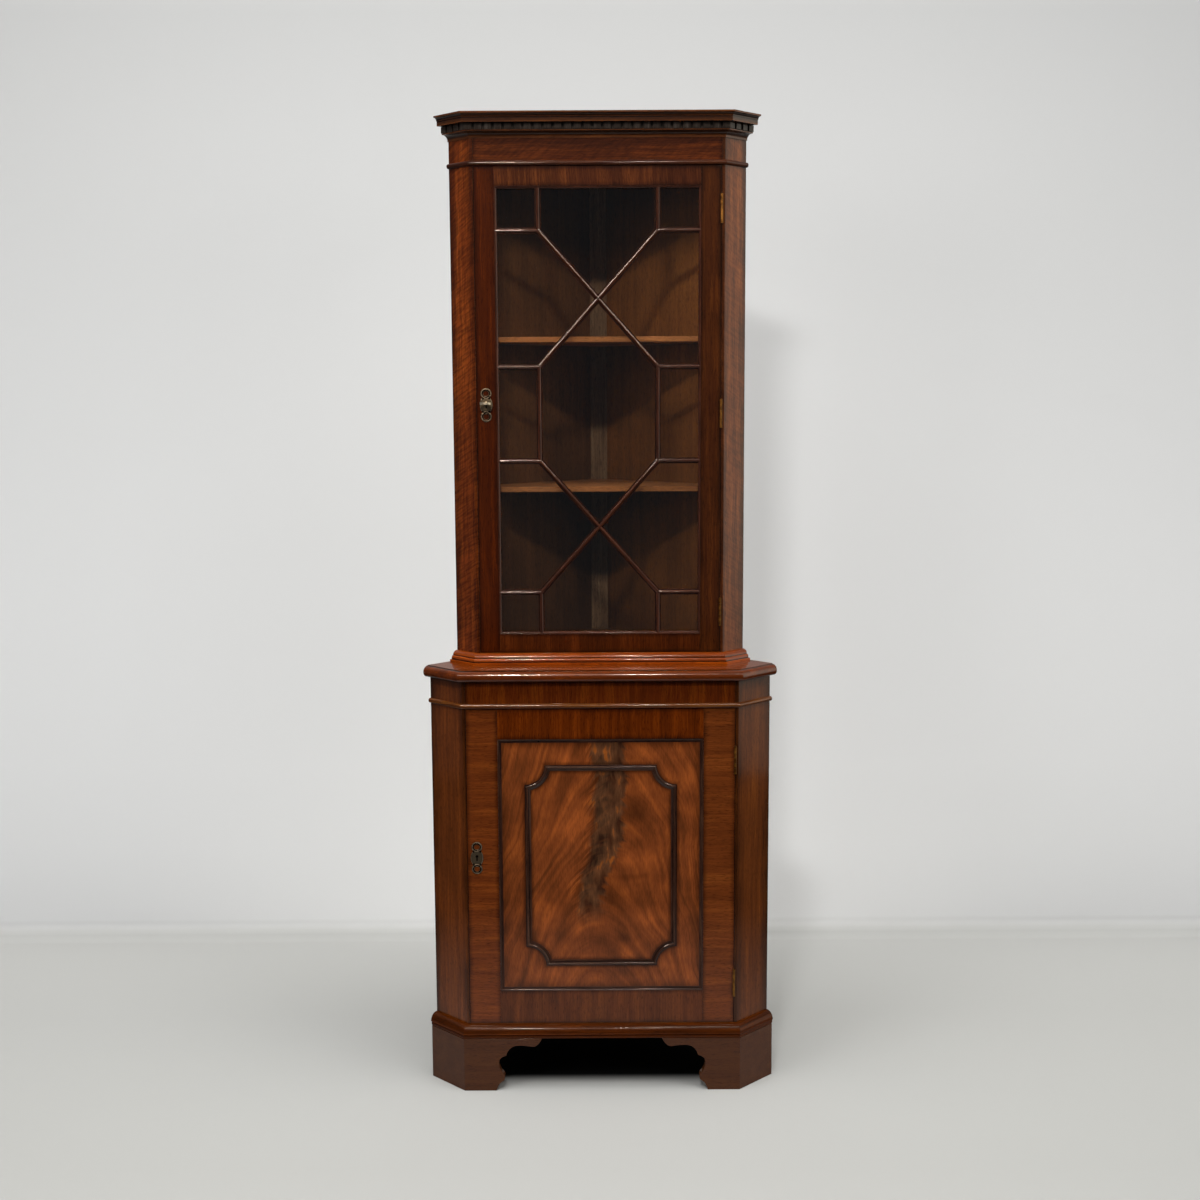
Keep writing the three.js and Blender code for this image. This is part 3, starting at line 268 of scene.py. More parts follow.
# Camera. It stands three metres in front at breast height and looks down by less than eight degrees. Its
# dip and roll are in radians.
CAMERA_AT = (0.0004, -3.04425, 1.3188)
CAMERA_DIP = 0.1351
CAMERA_ROLL = -0.0052
SENSOR_WIDTH = 36
FOCAL_LENGTH = 46.85
FRAME_SHIFT = 0.0081
camera_data = bpy.data.cameras.new("camera")
camera_data.sensor_width = SENSOR_WIDTH
camera_data.lens = FOCAL_LENGTH
camera_data.shift_y = FRAME_SHIFT
camera = bpy.data.objects.new("camera", camera_data)
camera.location = CAMERA_AT
camera.rotation_mode = "ZYX"
camera.rotation_euler = (math.pi / 2 - CAMERA_DIP, 0, CAMERA_ROLL)
bpy.context.scene.collection.objects.link(camera)
bpy.context.scene.camera = camera

# Carcass of both stages. The side boards are veneered in straight-grained mahogany, french polished to
# a deep gloss and darker at their edges, partly from toner and partly as painted shade. On the upper
# cants the veneer has a ropy figure.
UPRIGHT = (0, -90, 0)
LEVEL = (0, 0, 0)
BAND_DRAWN = 30  # how many times longer than wide the bands are
STREAK_DRAWN = 45
STREAK_SHARE = 0.45
PORE_LENGTH = 11
PORE_WIDTH = 1.1  # true pores are 0.2 mm wide and would not show
PORE_EDGE = (0.56, 0.68)
PORE_TONE = 0.55
MOTTLE_LENGTH = 90
MOTTLE_WIDTH = 45
RIPPLE = 5
DRIFT = 9
DRIFT_LENGTH = 80
NOISE_SPAN = (0.3, 0.7)  # nearly all of a noise lies between these
STROKE_SPAN = (0.36, 0.64)
SHADE_SPAN = (0.3, 1.5)
WEAR_SHADE_SPAN = (0.25, 0.85)
WEAR_SHADE_GAINS = (0.1, 1.4)
SURFACE_DEPTH = 0.012
SURFACE_PORES = -0.8
MOULDED_DEPTH = 0.11
MOULDED_PORES = -0.04
WOOD_ROUGHNESS = (0.34, 0.5)
BASE_SHEEN = 0.03
COAT_ROUGHNESS = 0.09
ARRIS = 0.5
ARRIS_ANGLE = 28
SHARP_ANGLE = 32
FLAT_ANGLE = 0.6
WELD = 0.002


def edge_gap(tree, where, node):
    """How far inside its board's nearest side a point lies: the smaller of half the width - |x| and half
    the height - |z|, from the middle of the board."""
    low, high = (np.array(corner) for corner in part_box(node))
    off = add(tree, "VectorMath", [where, tuple((low + high) / 2)], operation="SUBTRACT")
    off = add(tree, "VectorMath", [off], operation="ABSOLUTE")
    inside = add(tree, "VectorMath", [tuple((high - low) / 2), off], operation="SUBTRACT")
    sides = add(tree, "SeparateXYZ", [inside]).outputs
    return add(tree, "Math", [sides["X"], sides["Z"]], operation="MINIMUM")


def french_polish(tree, colour, rough, coat, bumps):
    """The wood's own surface, nearly matt, under a clear coat of shellac."""
    values = {
        "Base Color": colour,
        "Roughness": rough,
        "IOR": 1.5,
        "Specular IOR Level": BASE_SHEEN,
        "Coat Weight": coat,
        "Coat Roughness": COAT_ROUGHNESS,
    }
    polished = add(tree, "BsdfPrincipled", {**values, **bumps})
    add(tree, "OutputMaterial", {"Surface": polished})


def mahogany(
    name, colours, grain=UPRIGHT, band=14, streak=2.3, seed=0.0, tone=None, figure=None,
    mottle=0.09, spread=0.27, gloss=0.5, moulded=False, crested=False, painted_light_by_height=(),
):
    """French-polished mahogany. Noise drawn out along the grain gives wide bands and fine streaks, whose
    mix is coloured from dark through middle to light. Short dark pores lie on it. tone is a board, the
    width of its darkened edges and how dark they are, the darkening partly toner and partly painted
    shade. figure adds slanted light and dark strokes, and moulded or crested wood is lighter on its crests
    and darker in its quirks, partly wear and partly painted highlight and painted shade. The last argument
    lists pairs of heights, each with the gains of the colour at both, as painted light and shade."""
    material, tree = new_material(name)
    if moulded:
        where = add(tree, "UVMap", uv_map="run")
    else:
        where = add(tree, "TexCoord").outputs["Object"]
    drift = add(tree, "TexNoise", {"Vector": where, "Scale": 1 / (DRIFT_LENGTH * MM), "Detail": 1.0})
    drift = add(tree, "VectorMath", {0: drift.outputs["Color"], "Scale": DRIFT * MM}, operation="SCALE")
    drawn = add(tree, "VectorMath", [where, drift], operation="ADD")
    sizes = {
        "band": (band * BAND_DRAWN, band, 2.0),
        "streak": (streak * STREAK_DRAWN, streak, 3.0),
        "pore": (PORE_LENGTH, PORE_WIDTH, 1.0),
        "mottle": (MOTTLE_LENGTH, MOTTLE_WIDTH, 2.0),
        "ripple": (RIPPLE, RIPPLE, 1.0),
    }
    layers = {}
    for order, (layer, (along, across, detail)) in enumerate(sizes.items()):
        placing = {
            "Vector": drawn,
            "Location": (seed, seed * 0.37 + order, seed * 0.71),
            "Rotation": [math.radians(angle) for angle in grain],
            "Scale": (along * MM, across * MM, across * MM),
        }
        placed = add(tree, "Mapping", placing, vector_type="TEXTURE")
        layers[layer] = add(tree, "TexNoise", {"Vector": placed, "Scale": 1.0, "Detail": detail})
    mixing = {"Factor": STREAK_SHARE, "A": layers["band"], "B": layers["streak"]}
    blend = add(tree, "Mix", mixing, data_type="FLOAT")
    dark, middle, light = colours
    stops = [(0.5 - spread, dark), (0.5, middle), (0.5 + spread, light)]
    colour = add(tree, "ValToRGB", [blend], stops=stops)
    pores = add(tree, "MapRange", [layers["pore"], *PORE_EDGE, 0, 1])
    gains = [
        add(tree, "MapRange", [pores, 0, 1, 1, PORE_TONE]),
        add(tree, "MapRange", [layers["mottle"], *NOISE_SPAN, 1 - mottle, 1 + mottle]),
    ]
    if figure:
        placing = {
            "Vector": where,
            "Location": (seed, 0, 0),
            "Rotation": [math.radians(angle) for angle in figure["turn"]],
            "Scale": (figure["length"] * MM, figure["length"] * MM, figure["pitch"] * MM),
        }
        placed = add(tree, "Mapping", placing, vector_type="TEXTURE")
        strokes = add(tree, "TexNoise", {"Vector": placed, "Scale": 1.0, "Detail": 1.5})
        low, high = 1 - figure["strength"], 1 + figure["strength"]
        gains.append(add(tree, "MapRange", [strokes, *STROKE_SPAN, low, high]))
    # Edges darkened: partly toner, partly painted shade where the boards meet their neighbours.
    if tone:
        board, width, deep = tone
        edge = edge_gap(tree, where, board)
        edge = add(tree, "Math", [layers["mottle"], width * MM, edge], operation="MULTIPLY_ADD")
        near, far = (share * width * MM for share in SHADE_SPAN)
        gains.append(
            add(tree, "MapRange", [edge, near, far, 1 - deep, 1], interpolation_type="SMOOTHSTEP")
        )
    # Painted light and shade that changes with height.
    for bottom, top, low, high in painted_light_by_height:
        level = add(tree, "SeparateXYZ", [where]).outputs["Z"]
        gains.append(add(tree, "MapRange", [level, bottom * MM, top * MM, low, high]))
    # Crests painted lighter and quirks darker: partly wear, partly painted highlight and painted shade.
    if moulded or crested:
        worn = add(tree, "Attribute", attribute_name="exposure").outputs["Fac"]
        gains.append(add(tree, "MapRange", [worn, *WEAR_SHADE_SPAN, *WEAR_SHADE_GAINS]))
    for gain in gains:
        colour = add(tree, "VectorMath", {0: colour, "Scale": gain}, operation="SCALE")
    rough = add(tree, "MapRange", [layers["streak"], *NOISE_SPAN, *WOOD_ROUGHNESS])
    depth, sunk = (MOULDED_DEPTH, MOULDED_PORES) if moulded else (SURFACE_DEPTH, SURFACE_PORES)
    height = add(tree, "Math", [pores, sunk, layers["ripple"]], operation="MULTIPLY_ADD")
    bump = add(tree, "Bump", {"Height": height, "Distance": depth * MM, "Strength": 1.0})
    french_polish(tree, colour, rough, gloss, {"Normal": bump, "Coat Normal": bump})
    return material


def seat(piece, node, material, arris=0.0, stands_for=None):
    """Gives a piece its material and rounded arrises, and lets it ride with its node's rigid body. It stands
    for that node unless stands_for names others."""
    piece.data.materials.clear()
    piece.data.materials.append(material)
    piece.data.shade_smooth()
    if arris:
        bevel = piece.modifiers.new("arris", "BEVEL")
        bevel.width = arris * MM
        bevel.segments = 2
        bevel.limit_method = "ANGLE"
        bevel.angle_limit = math.radians(ARRIS_ANGLE)
        flats = piece.modifiers.new("flats", "WEIGHTED_NORMAL")
        flats.keep_sharp = True
    else:
        piece.data.set_sharp_from_angle(angle=math.radians(SHARP_ANGLE))
    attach(piece, frame["nodes"][node]["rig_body"])
    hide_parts(*((node,) if stands_for is None else stands_for))
    return piece


def worked(node, material, arris=ARRIS):
    """A copy of a node with its corners merged and its flat triangles joined, ready for rounding."""
    shape = bmesh.new()
    shape.from_mesh(frame["nodes"][node].data)
    bmesh.ops.remove_doubles(shape, verts=shape.verts, dist=WELD * MM)
    flat = math.radians(FLAT_ANGLE)
    bmesh.ops.dissolve_limit(
        shape, angle_limit=flat, verts=shape.verts, edges=shape.edges, delimit={"NORMAL"}
    )
    mesh = bpy.data.meshes.new(node + "_finished")
    shape.to_mesh(mesh)
    shape.free()
    piece = bpy.data.objects.new(node + "_finished", mesh)
    bpy.context.scene.collection.objects.link(piece)
    return seat(piece, node, material, arris)


SIDE_COLOURS = {
    "upper_side_left": ("351204", "662b0b", "964a15"),
    "upper_side_right": ("381809", "683415", "904f22"),
    "lower_side_left": ("321709", "602f10", "874619"),
    "lower_side_right": ("2d1507", "5a2c0d", "7d4315"),
}
ROPE = {
    "left": {"length": 26, "pitch": 3.4, "strength": 0.3, "turn": (0, -26, -45)},
    "right": {"length": 30, "pitch": 4, "strength": 0.16, "turn": (0, 28, 45)},
}
for order, (node, colours) in enumerate(SIDE_COLOURS.items()):
    stage, _, hand = node.split("_")
    veneer = mahogany(
        node + "_veneer",
        colours,
        band=11,
        spread=0.27 if stage == "upper" else 0.36,
        seed=3.1 + order,
        tone=(node, 18, 0.72),
        figure=ROPE[hand] if stage == "upper" else None,
    )
    worked(node, veneer)

# Frieze rails. The upper one is veneered with slanting ribbon figure, the lower one is cross-banded,
# so that its grain stands upright.
RIBBON = {"length": 26, "pitch": 5, "strength": 0.2, "turn": (0, -35, 0)}
upper_frieze_veneer = mahogany(
    "upper_frieze_veneer",
    ("260c03", "431b07", "642c0b"),
    grain=LEVEL,
    band=9,
    seed=11.2,
    tone=("upper_frieze_rail", 9, 0.55),
    figure=RIBBON,
)
lower_frieze_veneer = mahogany(
    "lower_frieze_veneer",
    ("2f1102", "532005", "7a3b08"),
    band=17,
    seed=12.6,
    tone=("lower_frieze_rail", 9, 0.7),
)
worked("upper_frieze_rail", upper_frieze_veneer)
worked("lower_frieze_rail", lower_frieze_veneer)

# Inner boards. Backs, corner posts, floors, top and shelves are veneered board under thin satin
# lacquer. The backs have a wild figure. Backs and shelves are painted lighter higher up, and the backs
# dark at the very top, as painted light and the painted shadow under the frieze. The left backs are
# painted darker than the right ones as shade, and the posts are paler.
# The left backs' colours are darker than the right's: painted shade.
BACK_COLOURS = {"left": ("361f12", "54331b", "6b4021"), "right": ("432511", "673b19", "854d20")}
POST_COLOURS = ("4f3624", "75553c", "906f52")
BOARD_COLOURS = ("3a2312", "6a4324", "86592f")
SHELF_COLOURS = ("724125", "8b542d", "a0653c")
# Painted light by height, and the painted shadow at the top of the backs.
BACK_PAINTED_LIGHT = [(900, 1560, 0.72, 1.28), (1590, 1625, 1, 0.5)]
SHELF_PAINTED_LIGHT = [(1250, 1400, 0.94, 1.24)]
WILD = {"length": 230, "pitch": 70, "strength": 0.14, "turn": (0, 52, 45)}
back_veneers = {}
for side, colours in BACK_COLOURS.items():
    back_veneers[side] = mahogany(
        "back_veneer_" + side,
        colours,
        band=60,
        streak=9,
        seed=21.7,
        spread=0.4,
        figure=WILD,
        gloss=0.2,
        painted_light_by_height=BACK_PAINTED_LIGHT,
    )
post_wood = mahogany("corner_post_wood", POST_COLOURS, band=9, seed=24.1, gloss=0.15)
board_wood = mahogany("inner_board_veneer", BOARD_COLOURS, grain=LEVEL, band=18, seed=26.4, gloss=0.2)
shelf_wood = mahogany(
    "shelf_veneer", SHELF_COLOURS, grain=LEVEL, band=12, seed=28.3, gloss=0.25, painted_light_by_height=SHELF_PAINTED_LIGHT
)
for stage in ("lower", "upper"):
    worked(stage + "_back_left", back_veneers["left"])
    worked(stage + "_back_right", back_veneers["right"])
    worked(stage + "_rear_post", post_wood)
    worked(stage + "_floor_board", board_wood)
worked("upper_top_board", board_wood)
for node in ("lower_shelf", "upper_middle_shelf", "upper_high_shelf"):
    worked(node, shelf_wood, arris=0.8)

# Bracket feet. Sawn brackets with a scrolled edge, mitred to plain ones on the cants, polished like the
# rest but duller and greyer from the floor.
foot_wood = mahogany(
    "foot_wood", ("2c1306", "48250e", "5f3618"), grain=LEVEL, band=16, seed=31.5, spread=0.5, mottle=0.02
)
for node in ("foot_left", "foot_right"):
    worked(node, foot_wood, arris=0.7)

# Base moulding. A quarter-round thumb over a small bead, run in lengths and mitred round the front
# and both cants.
EDGE_STRIP = 5.5
GLUE_LINE = 0.2
QUIRK = 1
POINT_SPACING = 0.7
CREST_REACH = 1.6
CREST_GAIN = 1.6
BASE_MOULD_OUT = 15.3
BASE_MOULD_HEIGHT = 25.5
BASE_BEAD_HEIGHT = 7.5
BASE_BEAD_SHARE = 0.6


def box_mm(node):
    """A node's lowest and highest corners in millimetres."""
    return np.array([tuple(corner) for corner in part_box(node)]) / MM


def arc(centre, radii, start, end, steps=9):
    """Points of an elliptical arc: centre + radii * (cos a, sin a), a from start to end in degrees."""
    angle = np.radians(np.linspace(start, end, steps))
    return np.array(centre) + np.stack([radii[0] * np.cos(angle), radii[1] * np.sin(angle)], axis=1)


def dense(outline):
    """A closed outline with points added so that no two neighbours lie further apart than the spacing."""
    parts = []
    for start, end in zip(outline, np.roll(outline, -1, axis=0)):
        count = max(1, int(np.ceil(np.linalg.norm(end - start) / POINT_SPACING)))
        share = np.arange(count)[:, None] / count
        parts.append(start + (end - start) * share)
    return np.concatenate(parts)


def crests(outline):
    """How far each point of a closed outline stands out, 0 in a quirk, 0.5 on a flat and 1 on an arris.
    It is the distance past the mean of the neighbours, weighted by exp(-(d / reach)^2), seen along the
    outward normal, times gain over reach."""
    gap = outline[:, None, :] - outline[None, :, :]
    weight = np.exp(-(np.linalg.norm(gap, axis=2) / CREST_REACH) ** 2)
    mean = (weight @ outline) / weight.sum(axis=1, keepdims=True)
    run = np.roll(outline, -1, axis=0) - np.roll(outline, 1, axis=0)
    area = np.sum(outline[:, 0] * np.roll(outline[:, 1], -1) - np.roll(outline[:, 0], -1) * outline[:, 1])
    normal = np.stack([run[:, 1], -run[:, 0]], axis=1) * np.sign(area)
    normal /= np.linalg.norm(normal, axis=1, keepdims=True)
    out = np.sum((outline - mean) * normal, axis=1)
    return np.clip(0.5 + out / CREST_REACH * CREST_GAIN, 0, 1)


def outward(piece):
    """Turns a closed mesh's faces outwards: its volume, the sum of centre . normal * area, is positive."""
    polygons = piece.data.polygons
    centre, normal, area = (np.zeros(len(polygons) * size) for size in (3, 3, 1))
    polygons.foreach_get("center", centre)
    polygons.foreach_get("normal", normal)
    polygons.foreach_get("area", area)
    if np.sum(centre.reshape(-1, 3) * normal.reshape(-1, 3) * area[:, None]) < 0:
        piece.data.flip_normals()
    return piece


def moulding(name, rings, outline, closed=False, origin=0.0):
    """A moulding from the rings of its section. UVs hold the length run along it by each point, counted
    from origin, and the length round its section. Its exposure is the crests of the section."""
    stops = np.concatenate([rings, rings[:1]]) if closed else rings
    length = np.linalg.norm(np.diff(stops, axis=0), axis=2)
    along = np.concatenate([np.zeros((1, len(outline))), np.cumsum(length, axis=0)]) + origin
    steps = np.linalg.norm(np.diff(outline, axis=0), axis=1)
    round_it = np.concatenate([[0], np.cumsum(steps)])
    run = np.stack([along, np.broadcast_to(round_it, along.shape)], axis=2)
    run = np.concatenate([run, run[:, :1]], axis=1)
    piece = surface(
        name,
        rings * MM,
        loop_rows=closed,
        loop_columns=True,
        caps=not closed,
        run=run * MM,
        exposure=crests(outline),
    )
    return outward(piece)


def stage_plan(prefix):
    """Front line, half width and cant of a stage, read from its right side board."""
    (left, front, _), (right, _, _) = box_mm(prefix + "_side_right")
    half = left + EDGE_STRIP
    return {"front": front, "half": half, "cant": right - half}


def front_corners(plan, out):
    """The four front corners in plan, moved out from the faces: x = half + out * tan(22.5 degrees) at
    the front ones, and the tips on the walls move out by out / sqrt(2) both ways."""
    half = plan["half"] + out * math.tan(math.pi / 8)
    tip = out / math.sqrt(2)
    tip_x = plan["half"] + plan["cant"] + tip
    tip_y = plan["front"] + plan["cant"] - tip
    face = plan["front"] - out
    x = np.stack([-tip_x, -half, half, tip_x])
    y = np.stack([tip_y, face, face, tip_y])
    return np.stack([x, y], axis=-1)


def mitred(name, plan, section, node, first=0, last=3):
    """A moulding carried round the front corners of a stage, up from the foot of its node. The section
    holds distance out and height, each corner's ring is the section laid on the mitre, and the length
    is counted from the middle."""
    outline = dense(section)
    corners = front_corners(plan, outline[:, 0])[first : last + 1]
    height = np.broadcast_to(box_mm(node)[0][2] + outline[:, 1], corners.shape[:2])
    rings = np.concatenate([corners, height[:, :, None]], axis=2)
    length = np.linalg.norm(np.diff(rings, axis=0), axis=2).sum(axis=0)
    return moulding(name, rings, outline, origin=-length / 2)


def moulded_wood(name, colours, band, seed, gloss=0.7):
    """Mahogany whose grain runs along its moulding, lighter on its crests and darker in its quirks,
    partly as wear and partly as painted highlight and painted shade.
    """
    return mahogany(name, colours, grain=LEVEL, band=band, seed=seed, gloss=gloss, moulded=True)


bead_half = BASE_BEAD_HEIGHT / 2
bead_out = BASE_MOULD_OUT - bead_half
thumb_base = BASE_BEAD_HEIGHT + QUIRK
base_section = np.concatenate(
    [
        [[GLUE_LINE, 0]],
        arc((bead_out, bead_half), (bead_half * BASE_BEAD_SHARE, bead_half), -90, 90),
        arc((QUIRK, thumb_base), (BASE_MOULD_OUT - QUIRK, BASE_MOULD_HEIGHT - thumb_base), 0, 90, 14),
        [[GLUE_LINE, BASE_MOULD_HEIGHT]],
    ]
)
lower_plan = stage_plan("lower")
upper_plan = stage_plan("upper")
golden_moulding = moulded_wood("golden_moulding_wood", ("270e01", "4a1e01", "652d02"), 8, 41.3, gloss=0.2)
piece = mitred("base_moulding_run", lower_plan, base_section, "base_moulding")
seat(piece, "base_moulding", golden_moulding)

# Waist slab. One board whose front and canted edges have a quirked thumb moulding. Its long grain runs
# across the front, and its top has the deepest gloss of all. Its edge is painted darkest below and in
# the quirk, as shade.
SLAB_OUT = 16.6
SLAB_THICKNESS = 22
SLAB_THUMB = 11
SLAB_UNDER_ROUND = 9
SLAB_LOW_EDGE = 3
SLAB_WORN = 0.66
SLAB_LOW_SHADE = 0.34
SLAB_QUIRK_SHADE = 0.28
thumb_in = SLAB_OUT - SLAB_THUMB
thumb_rise = SLAB_THICKNESS - QUIRK - SLAB_UNDER_ROUND
under_in = SLAB_OUT - SLAB_UNDER_ROUND
slab_edge = np.concatenate(
    [
        arc((under_in, SLAB_UNDER_ROUND), (SLAB_UNDER_ROUND, SLAB_UNDER_ROUND), -90, 0, 12),
        arc((thumb_in, SLAB_UNDER_ROUND), (SLAB_THUMB, thumb_rise), 0, 90, 12)[1:],
        [[thumb_in, SLAB_THICKNESS]],
    ]
)
slab_wear_and_shade = crests(np.concatenate([[[0, 0]], slab_edge, [[0, SLAB_THICKNESS]]]))[1:-1]
# Painted shade: the edge is set dark below and in the quirk.
slab_wear_and_shade = np.where(slab_edge[:, 1] < SLAB_LOW_EDGE, SLAB_LOW_SHADE, np.minimum(slab_wear_and_shade, SLAB_WORN))
slab_wear_and_shade = np.where(slab_edge[:, 1] > SLAB_THICKNESS - 2 * QUIRK, SLAB_QUIRK_SHADE, slab_wear_and_shade)
slab_wear_and_shade[-1] = SLAB_WORN
(_, _, slab_foot), (_, slab_back, _) = box_mm("waist_slab")
back_half = lower_plan["half"] + 2 * lower_plan["cant"] + lower_plan["front"] - slab_back
back_corners = np.array([[back_half, slab_back], [-back_half, slab_back]])
back_corners = np.broadcast_to(back_corners[:, None, :], (2, len(slab_edge), 2))
slab_plan = np.concatenate([front_corners(lower_plan, slab_edge[:, 0]), back_corners]).transpose(1, 0, 2)
height = np.broadcast_to(slab_foot + slab_edge[:, 1, None], slab_plan.shape[:2])
slab = surface(
    "waist_slab_board",
    np.concatenate([slab_plan, height[:, :, None]], axis=2) * MM,
    loop_columns=True,
    caps=True,
    exposure=slab_wear_and_shade[:, None],
)
slab_wood = mahogany(
    "waist_slab_wood",
    ("331301", "632701", "883c02"),
    grain=LEVEL,
    band=13,
    seed=44.9,
    gloss=0.8,
    crested=True,
)
seat(outward(slab), "waist_slab", slab_wood)

# Waist moulding. Two rounds over a fillet, planted round the foot of the upper stage where the polish
# has worn to a bright orange red.
WAIST_OUT = 18.5
WAIST_HEIGHT = 20.2
WAIST_FILLET = 3.8
WAIST_SHARES = {"low_out": 0.77, "high_out": 0.62, "low_top": 0.43}
low_out = WAIST_OUT * WAIST_SHARES["low_out"]
high_out = WAIST_OUT * WAIST_SHARES["high_out"]
low_top = WAIST_FILLET + (WAIST_HEIGHT - WAIST_FILLET) * WAIST_SHARES["low_top"]
waist_section = np.concatenate(
    [
        [[GLUE_LINE, 0], [WAIST_OUT, 0], [WAIST_OUT, WAIST_FILLET]],
        arc((high_out, WAIST_FILLET), (low_out - high_out, low_top - WAIST_FILLET), 0, 90, 9),
        arc((QUIRK, low_top), (high_out - 2 * QUIRK, WAIST_HEIGHT - low_top), 0, 90, 12),
        [[GLUE_LINE, WAIST_HEIGHT]],
    ]
)
orange_moulding = moulded_wood("orange_moulding_wood", ("481a01", "7e3302", "a34a05"), 8, 47.2)
piece = mitred("waist_moulding_run", upper_plan, waist_section, "waist_moulding")
seat(piece, "waist_moulding", orange_moulding)

# Astragals. Half-round strips that mark the foot of each frieze. The upper one is stained dark, and the
# lower one is golden brown, lighter along its crest, partly rubbed and partly painted highlight.
ASTRAGAL_HEIGHT = 9.3
ASTRAGAL_OUT = 5.5
astragal_half = ASTRAGAL_HEIGHT / 2
astragal_section = np.concatenate(
    [
        [[GLUE_LINE, 0]],
        arc((QUIRK, astragal_half), (ASTRAGAL_OUT - QUIRK, astragal_half), -90, 90, 15),
        [[GLUE_LINE, ASTRAGAL_HEIGHT]],
    ]
)
dark_moulding = moulded_wood("dark_moulding_wood", ("1d0c07", "3a1b0f", "5c3019"), 7, 51.8, gloss=0.4)
rubbed_lit_moulding = moulded_wood("rubbed_moulding_wood", ("2c1304", "5c2d09", "8c5417"), 7, 52.6)
astragals = {"lower": (lower_plan, rubbed_lit_moulding), "upper": (upper_plan, dark_moulding)}
for stage, (plan, wood) in astragals.items():
    node = stage + "_astragal"
    seat(mitred(node + "_run", plan, astragal_section, node), node, wood)

# Cornice. A cavetto bed moulding, the ground behind the dentils, and a corona under a crowning cavetto
# and fillet, in three lengths mitred at the front corners.
BED_FILLET = 2
BED_OUT = 15.5
BED_HEIGHT = 13.5
DENTIL_GROUND = 11.5
SOFFIT = 25.5
CORONA_OUT = 26.8
CORONA_TOP = 34
CROWN_FILLET = 3
CORNICE_OUT = 34.4
CORNICE_HEIGHT = 43
bed_in = BED_OUT - BED_FILLET
crown_top = CORNICE_HEIGHT - CROWN_FILLET
crown_in = CORONA_OUT + QUIRK
crown_out = CORNICE_OUT - QUIRK
cornice_section = np.concatenate(
    [
        [[GLUE_LINE, 0], [BED_FILLET, 0]],
        arc((bed_in, BED_FILLET), (bed_in - BED_FILLET, BED_HEIGHT - 2 * BED_FILLET), 180, 90, 12),
        [[BED_OUT, BED_HEIGHT - BED_FILLET], [BED_OUT, BED_HEIGHT], [DENTIL_GROUND, BED_HEIGHT]],
        [[DENTIL_GROUND, SOFFIT], [CORONA_OUT, SOFFIT], [CORONA_OUT, CORONA_TOP]],
        arc((crown_out, CORONA_TOP), (crown_out - crown_in, crown_top - CORONA_TOP), 180, 90, 10),
        [[CORNICE_OUT, crown_top], [CORNICE_OUT, CORNICE_HEIGHT], [GLUE_LINE, CORNICE_HEIGHT]],
    ]
)
cornice_wood = moulded_wood("cornice_wood", ("241105", "46230d", "603412"), 8, 54.6)
for corner, side in enumerate(("left", "front", "right")):
    piece = mitred("cornice_run_" + side, upper_plan, cornice_section, "cornice_front", corner, corner + 1)
    seat(piece, "cornice_" + side, cornice_wood)

# Dentil course. Blocks cut across a strip, stained nearly black, with dust-greyed faces.
dentil_wood = mahogany("dentil_wood", ("1a120f", "302822", "4b433d"), band=6, seed=57.7, gloss=0.4)
worked("dentil_course", dentil_wood, arris=0.6)

# Frame of the glazed door. The stiles have straight upright grain, the rails are cross-banded, and the
# colour is the darkest red of the whole front. All edges are darker, partly toner and partly painted shade.
UPPER_DOOR_COLOURS = {
    "upper_door_stile_left": ("2c0900", "3f1501", "5d2201"),
    "upper_door_stile_right": ("260c04", "3d1b06", "592b0b"),
    "upper_door_top_rail": ("240c05", "431e0c", "6a3616"),
    "upper_door_bottom_rail": ("280d03", "411a04", "612a0a"),
}
for order, (node, colours) in enumerate(UPPER_DOOR_COLOURS.items()):
    stile = "stile" in node
    veneer = mahogany(
        node + "_veneer",
        colours,
        band=9 if stile else 26,
        spread=0.27 if stile else 0.23,
        seed=61.3 + order,
        tone=(node, 9, 0.6),
    )
    worked(node, veneer)

# Glazing bars. Astragal bars with a half-round face over two fillets, joined in the thirteen-pane
# pattern and moulded to the door round its edge. Their crests are lighter red brown, partly rubbed and
# partly painted highlight.
BAR_WIDTH = 11
BAR_BEAD = 7.5
BAR_FILLET = 5
BAR_DEPTH = 9.2
BORDER = 4.5
CORNER_PANE = 75
MIDDLE_PANE_HALF = 87
bar_half = BAR_WIDTH / 2
shoulder = BAR_DEPTH - BAR_FILLET
bar_section = np.concatenate(
    [
        [[-bar_half, BAR_DEPTH], [-bar_half, shoulder]],
        arc((0, shoulder), (-BAR_BEAD / 2, -shoulder), 0, 180, 17),
        [[bar_half, shoulder], [bar_half, BAR_DEPTH]],
    ]
)
border_section = np.concatenate(
    [
        [[0, 0]],
        arc((0, shoulder), (BORDER, shoulder), -90, 0, 9),
        [[BORDER, BAR_DEPTH], [0, BAR_DEPTH]],
    ]
)


def framed(name, section, left, right, bottom, top, y):
    """A moulding mitred round a rectangle. Its section holds distance in from the edge and depth back
    from y, and each corner's ring is the section laid along the inward diagonal."""
    outline = dense(section)
    x = np.array([left, right, right, left])[:, None] + np.outer([1, -1, -1, 1], outline[:, 0])
    z = np.array([bottom, bottom, top, top])[:, None] + np.outer([1, 1, -1, -1], outline[:, 0])
    rings = np.stack([x, np.broadcast_to(y + outline[:, 1], x.shape), z], axis=2)
    return moulding(name, rings, outline, closed=True)


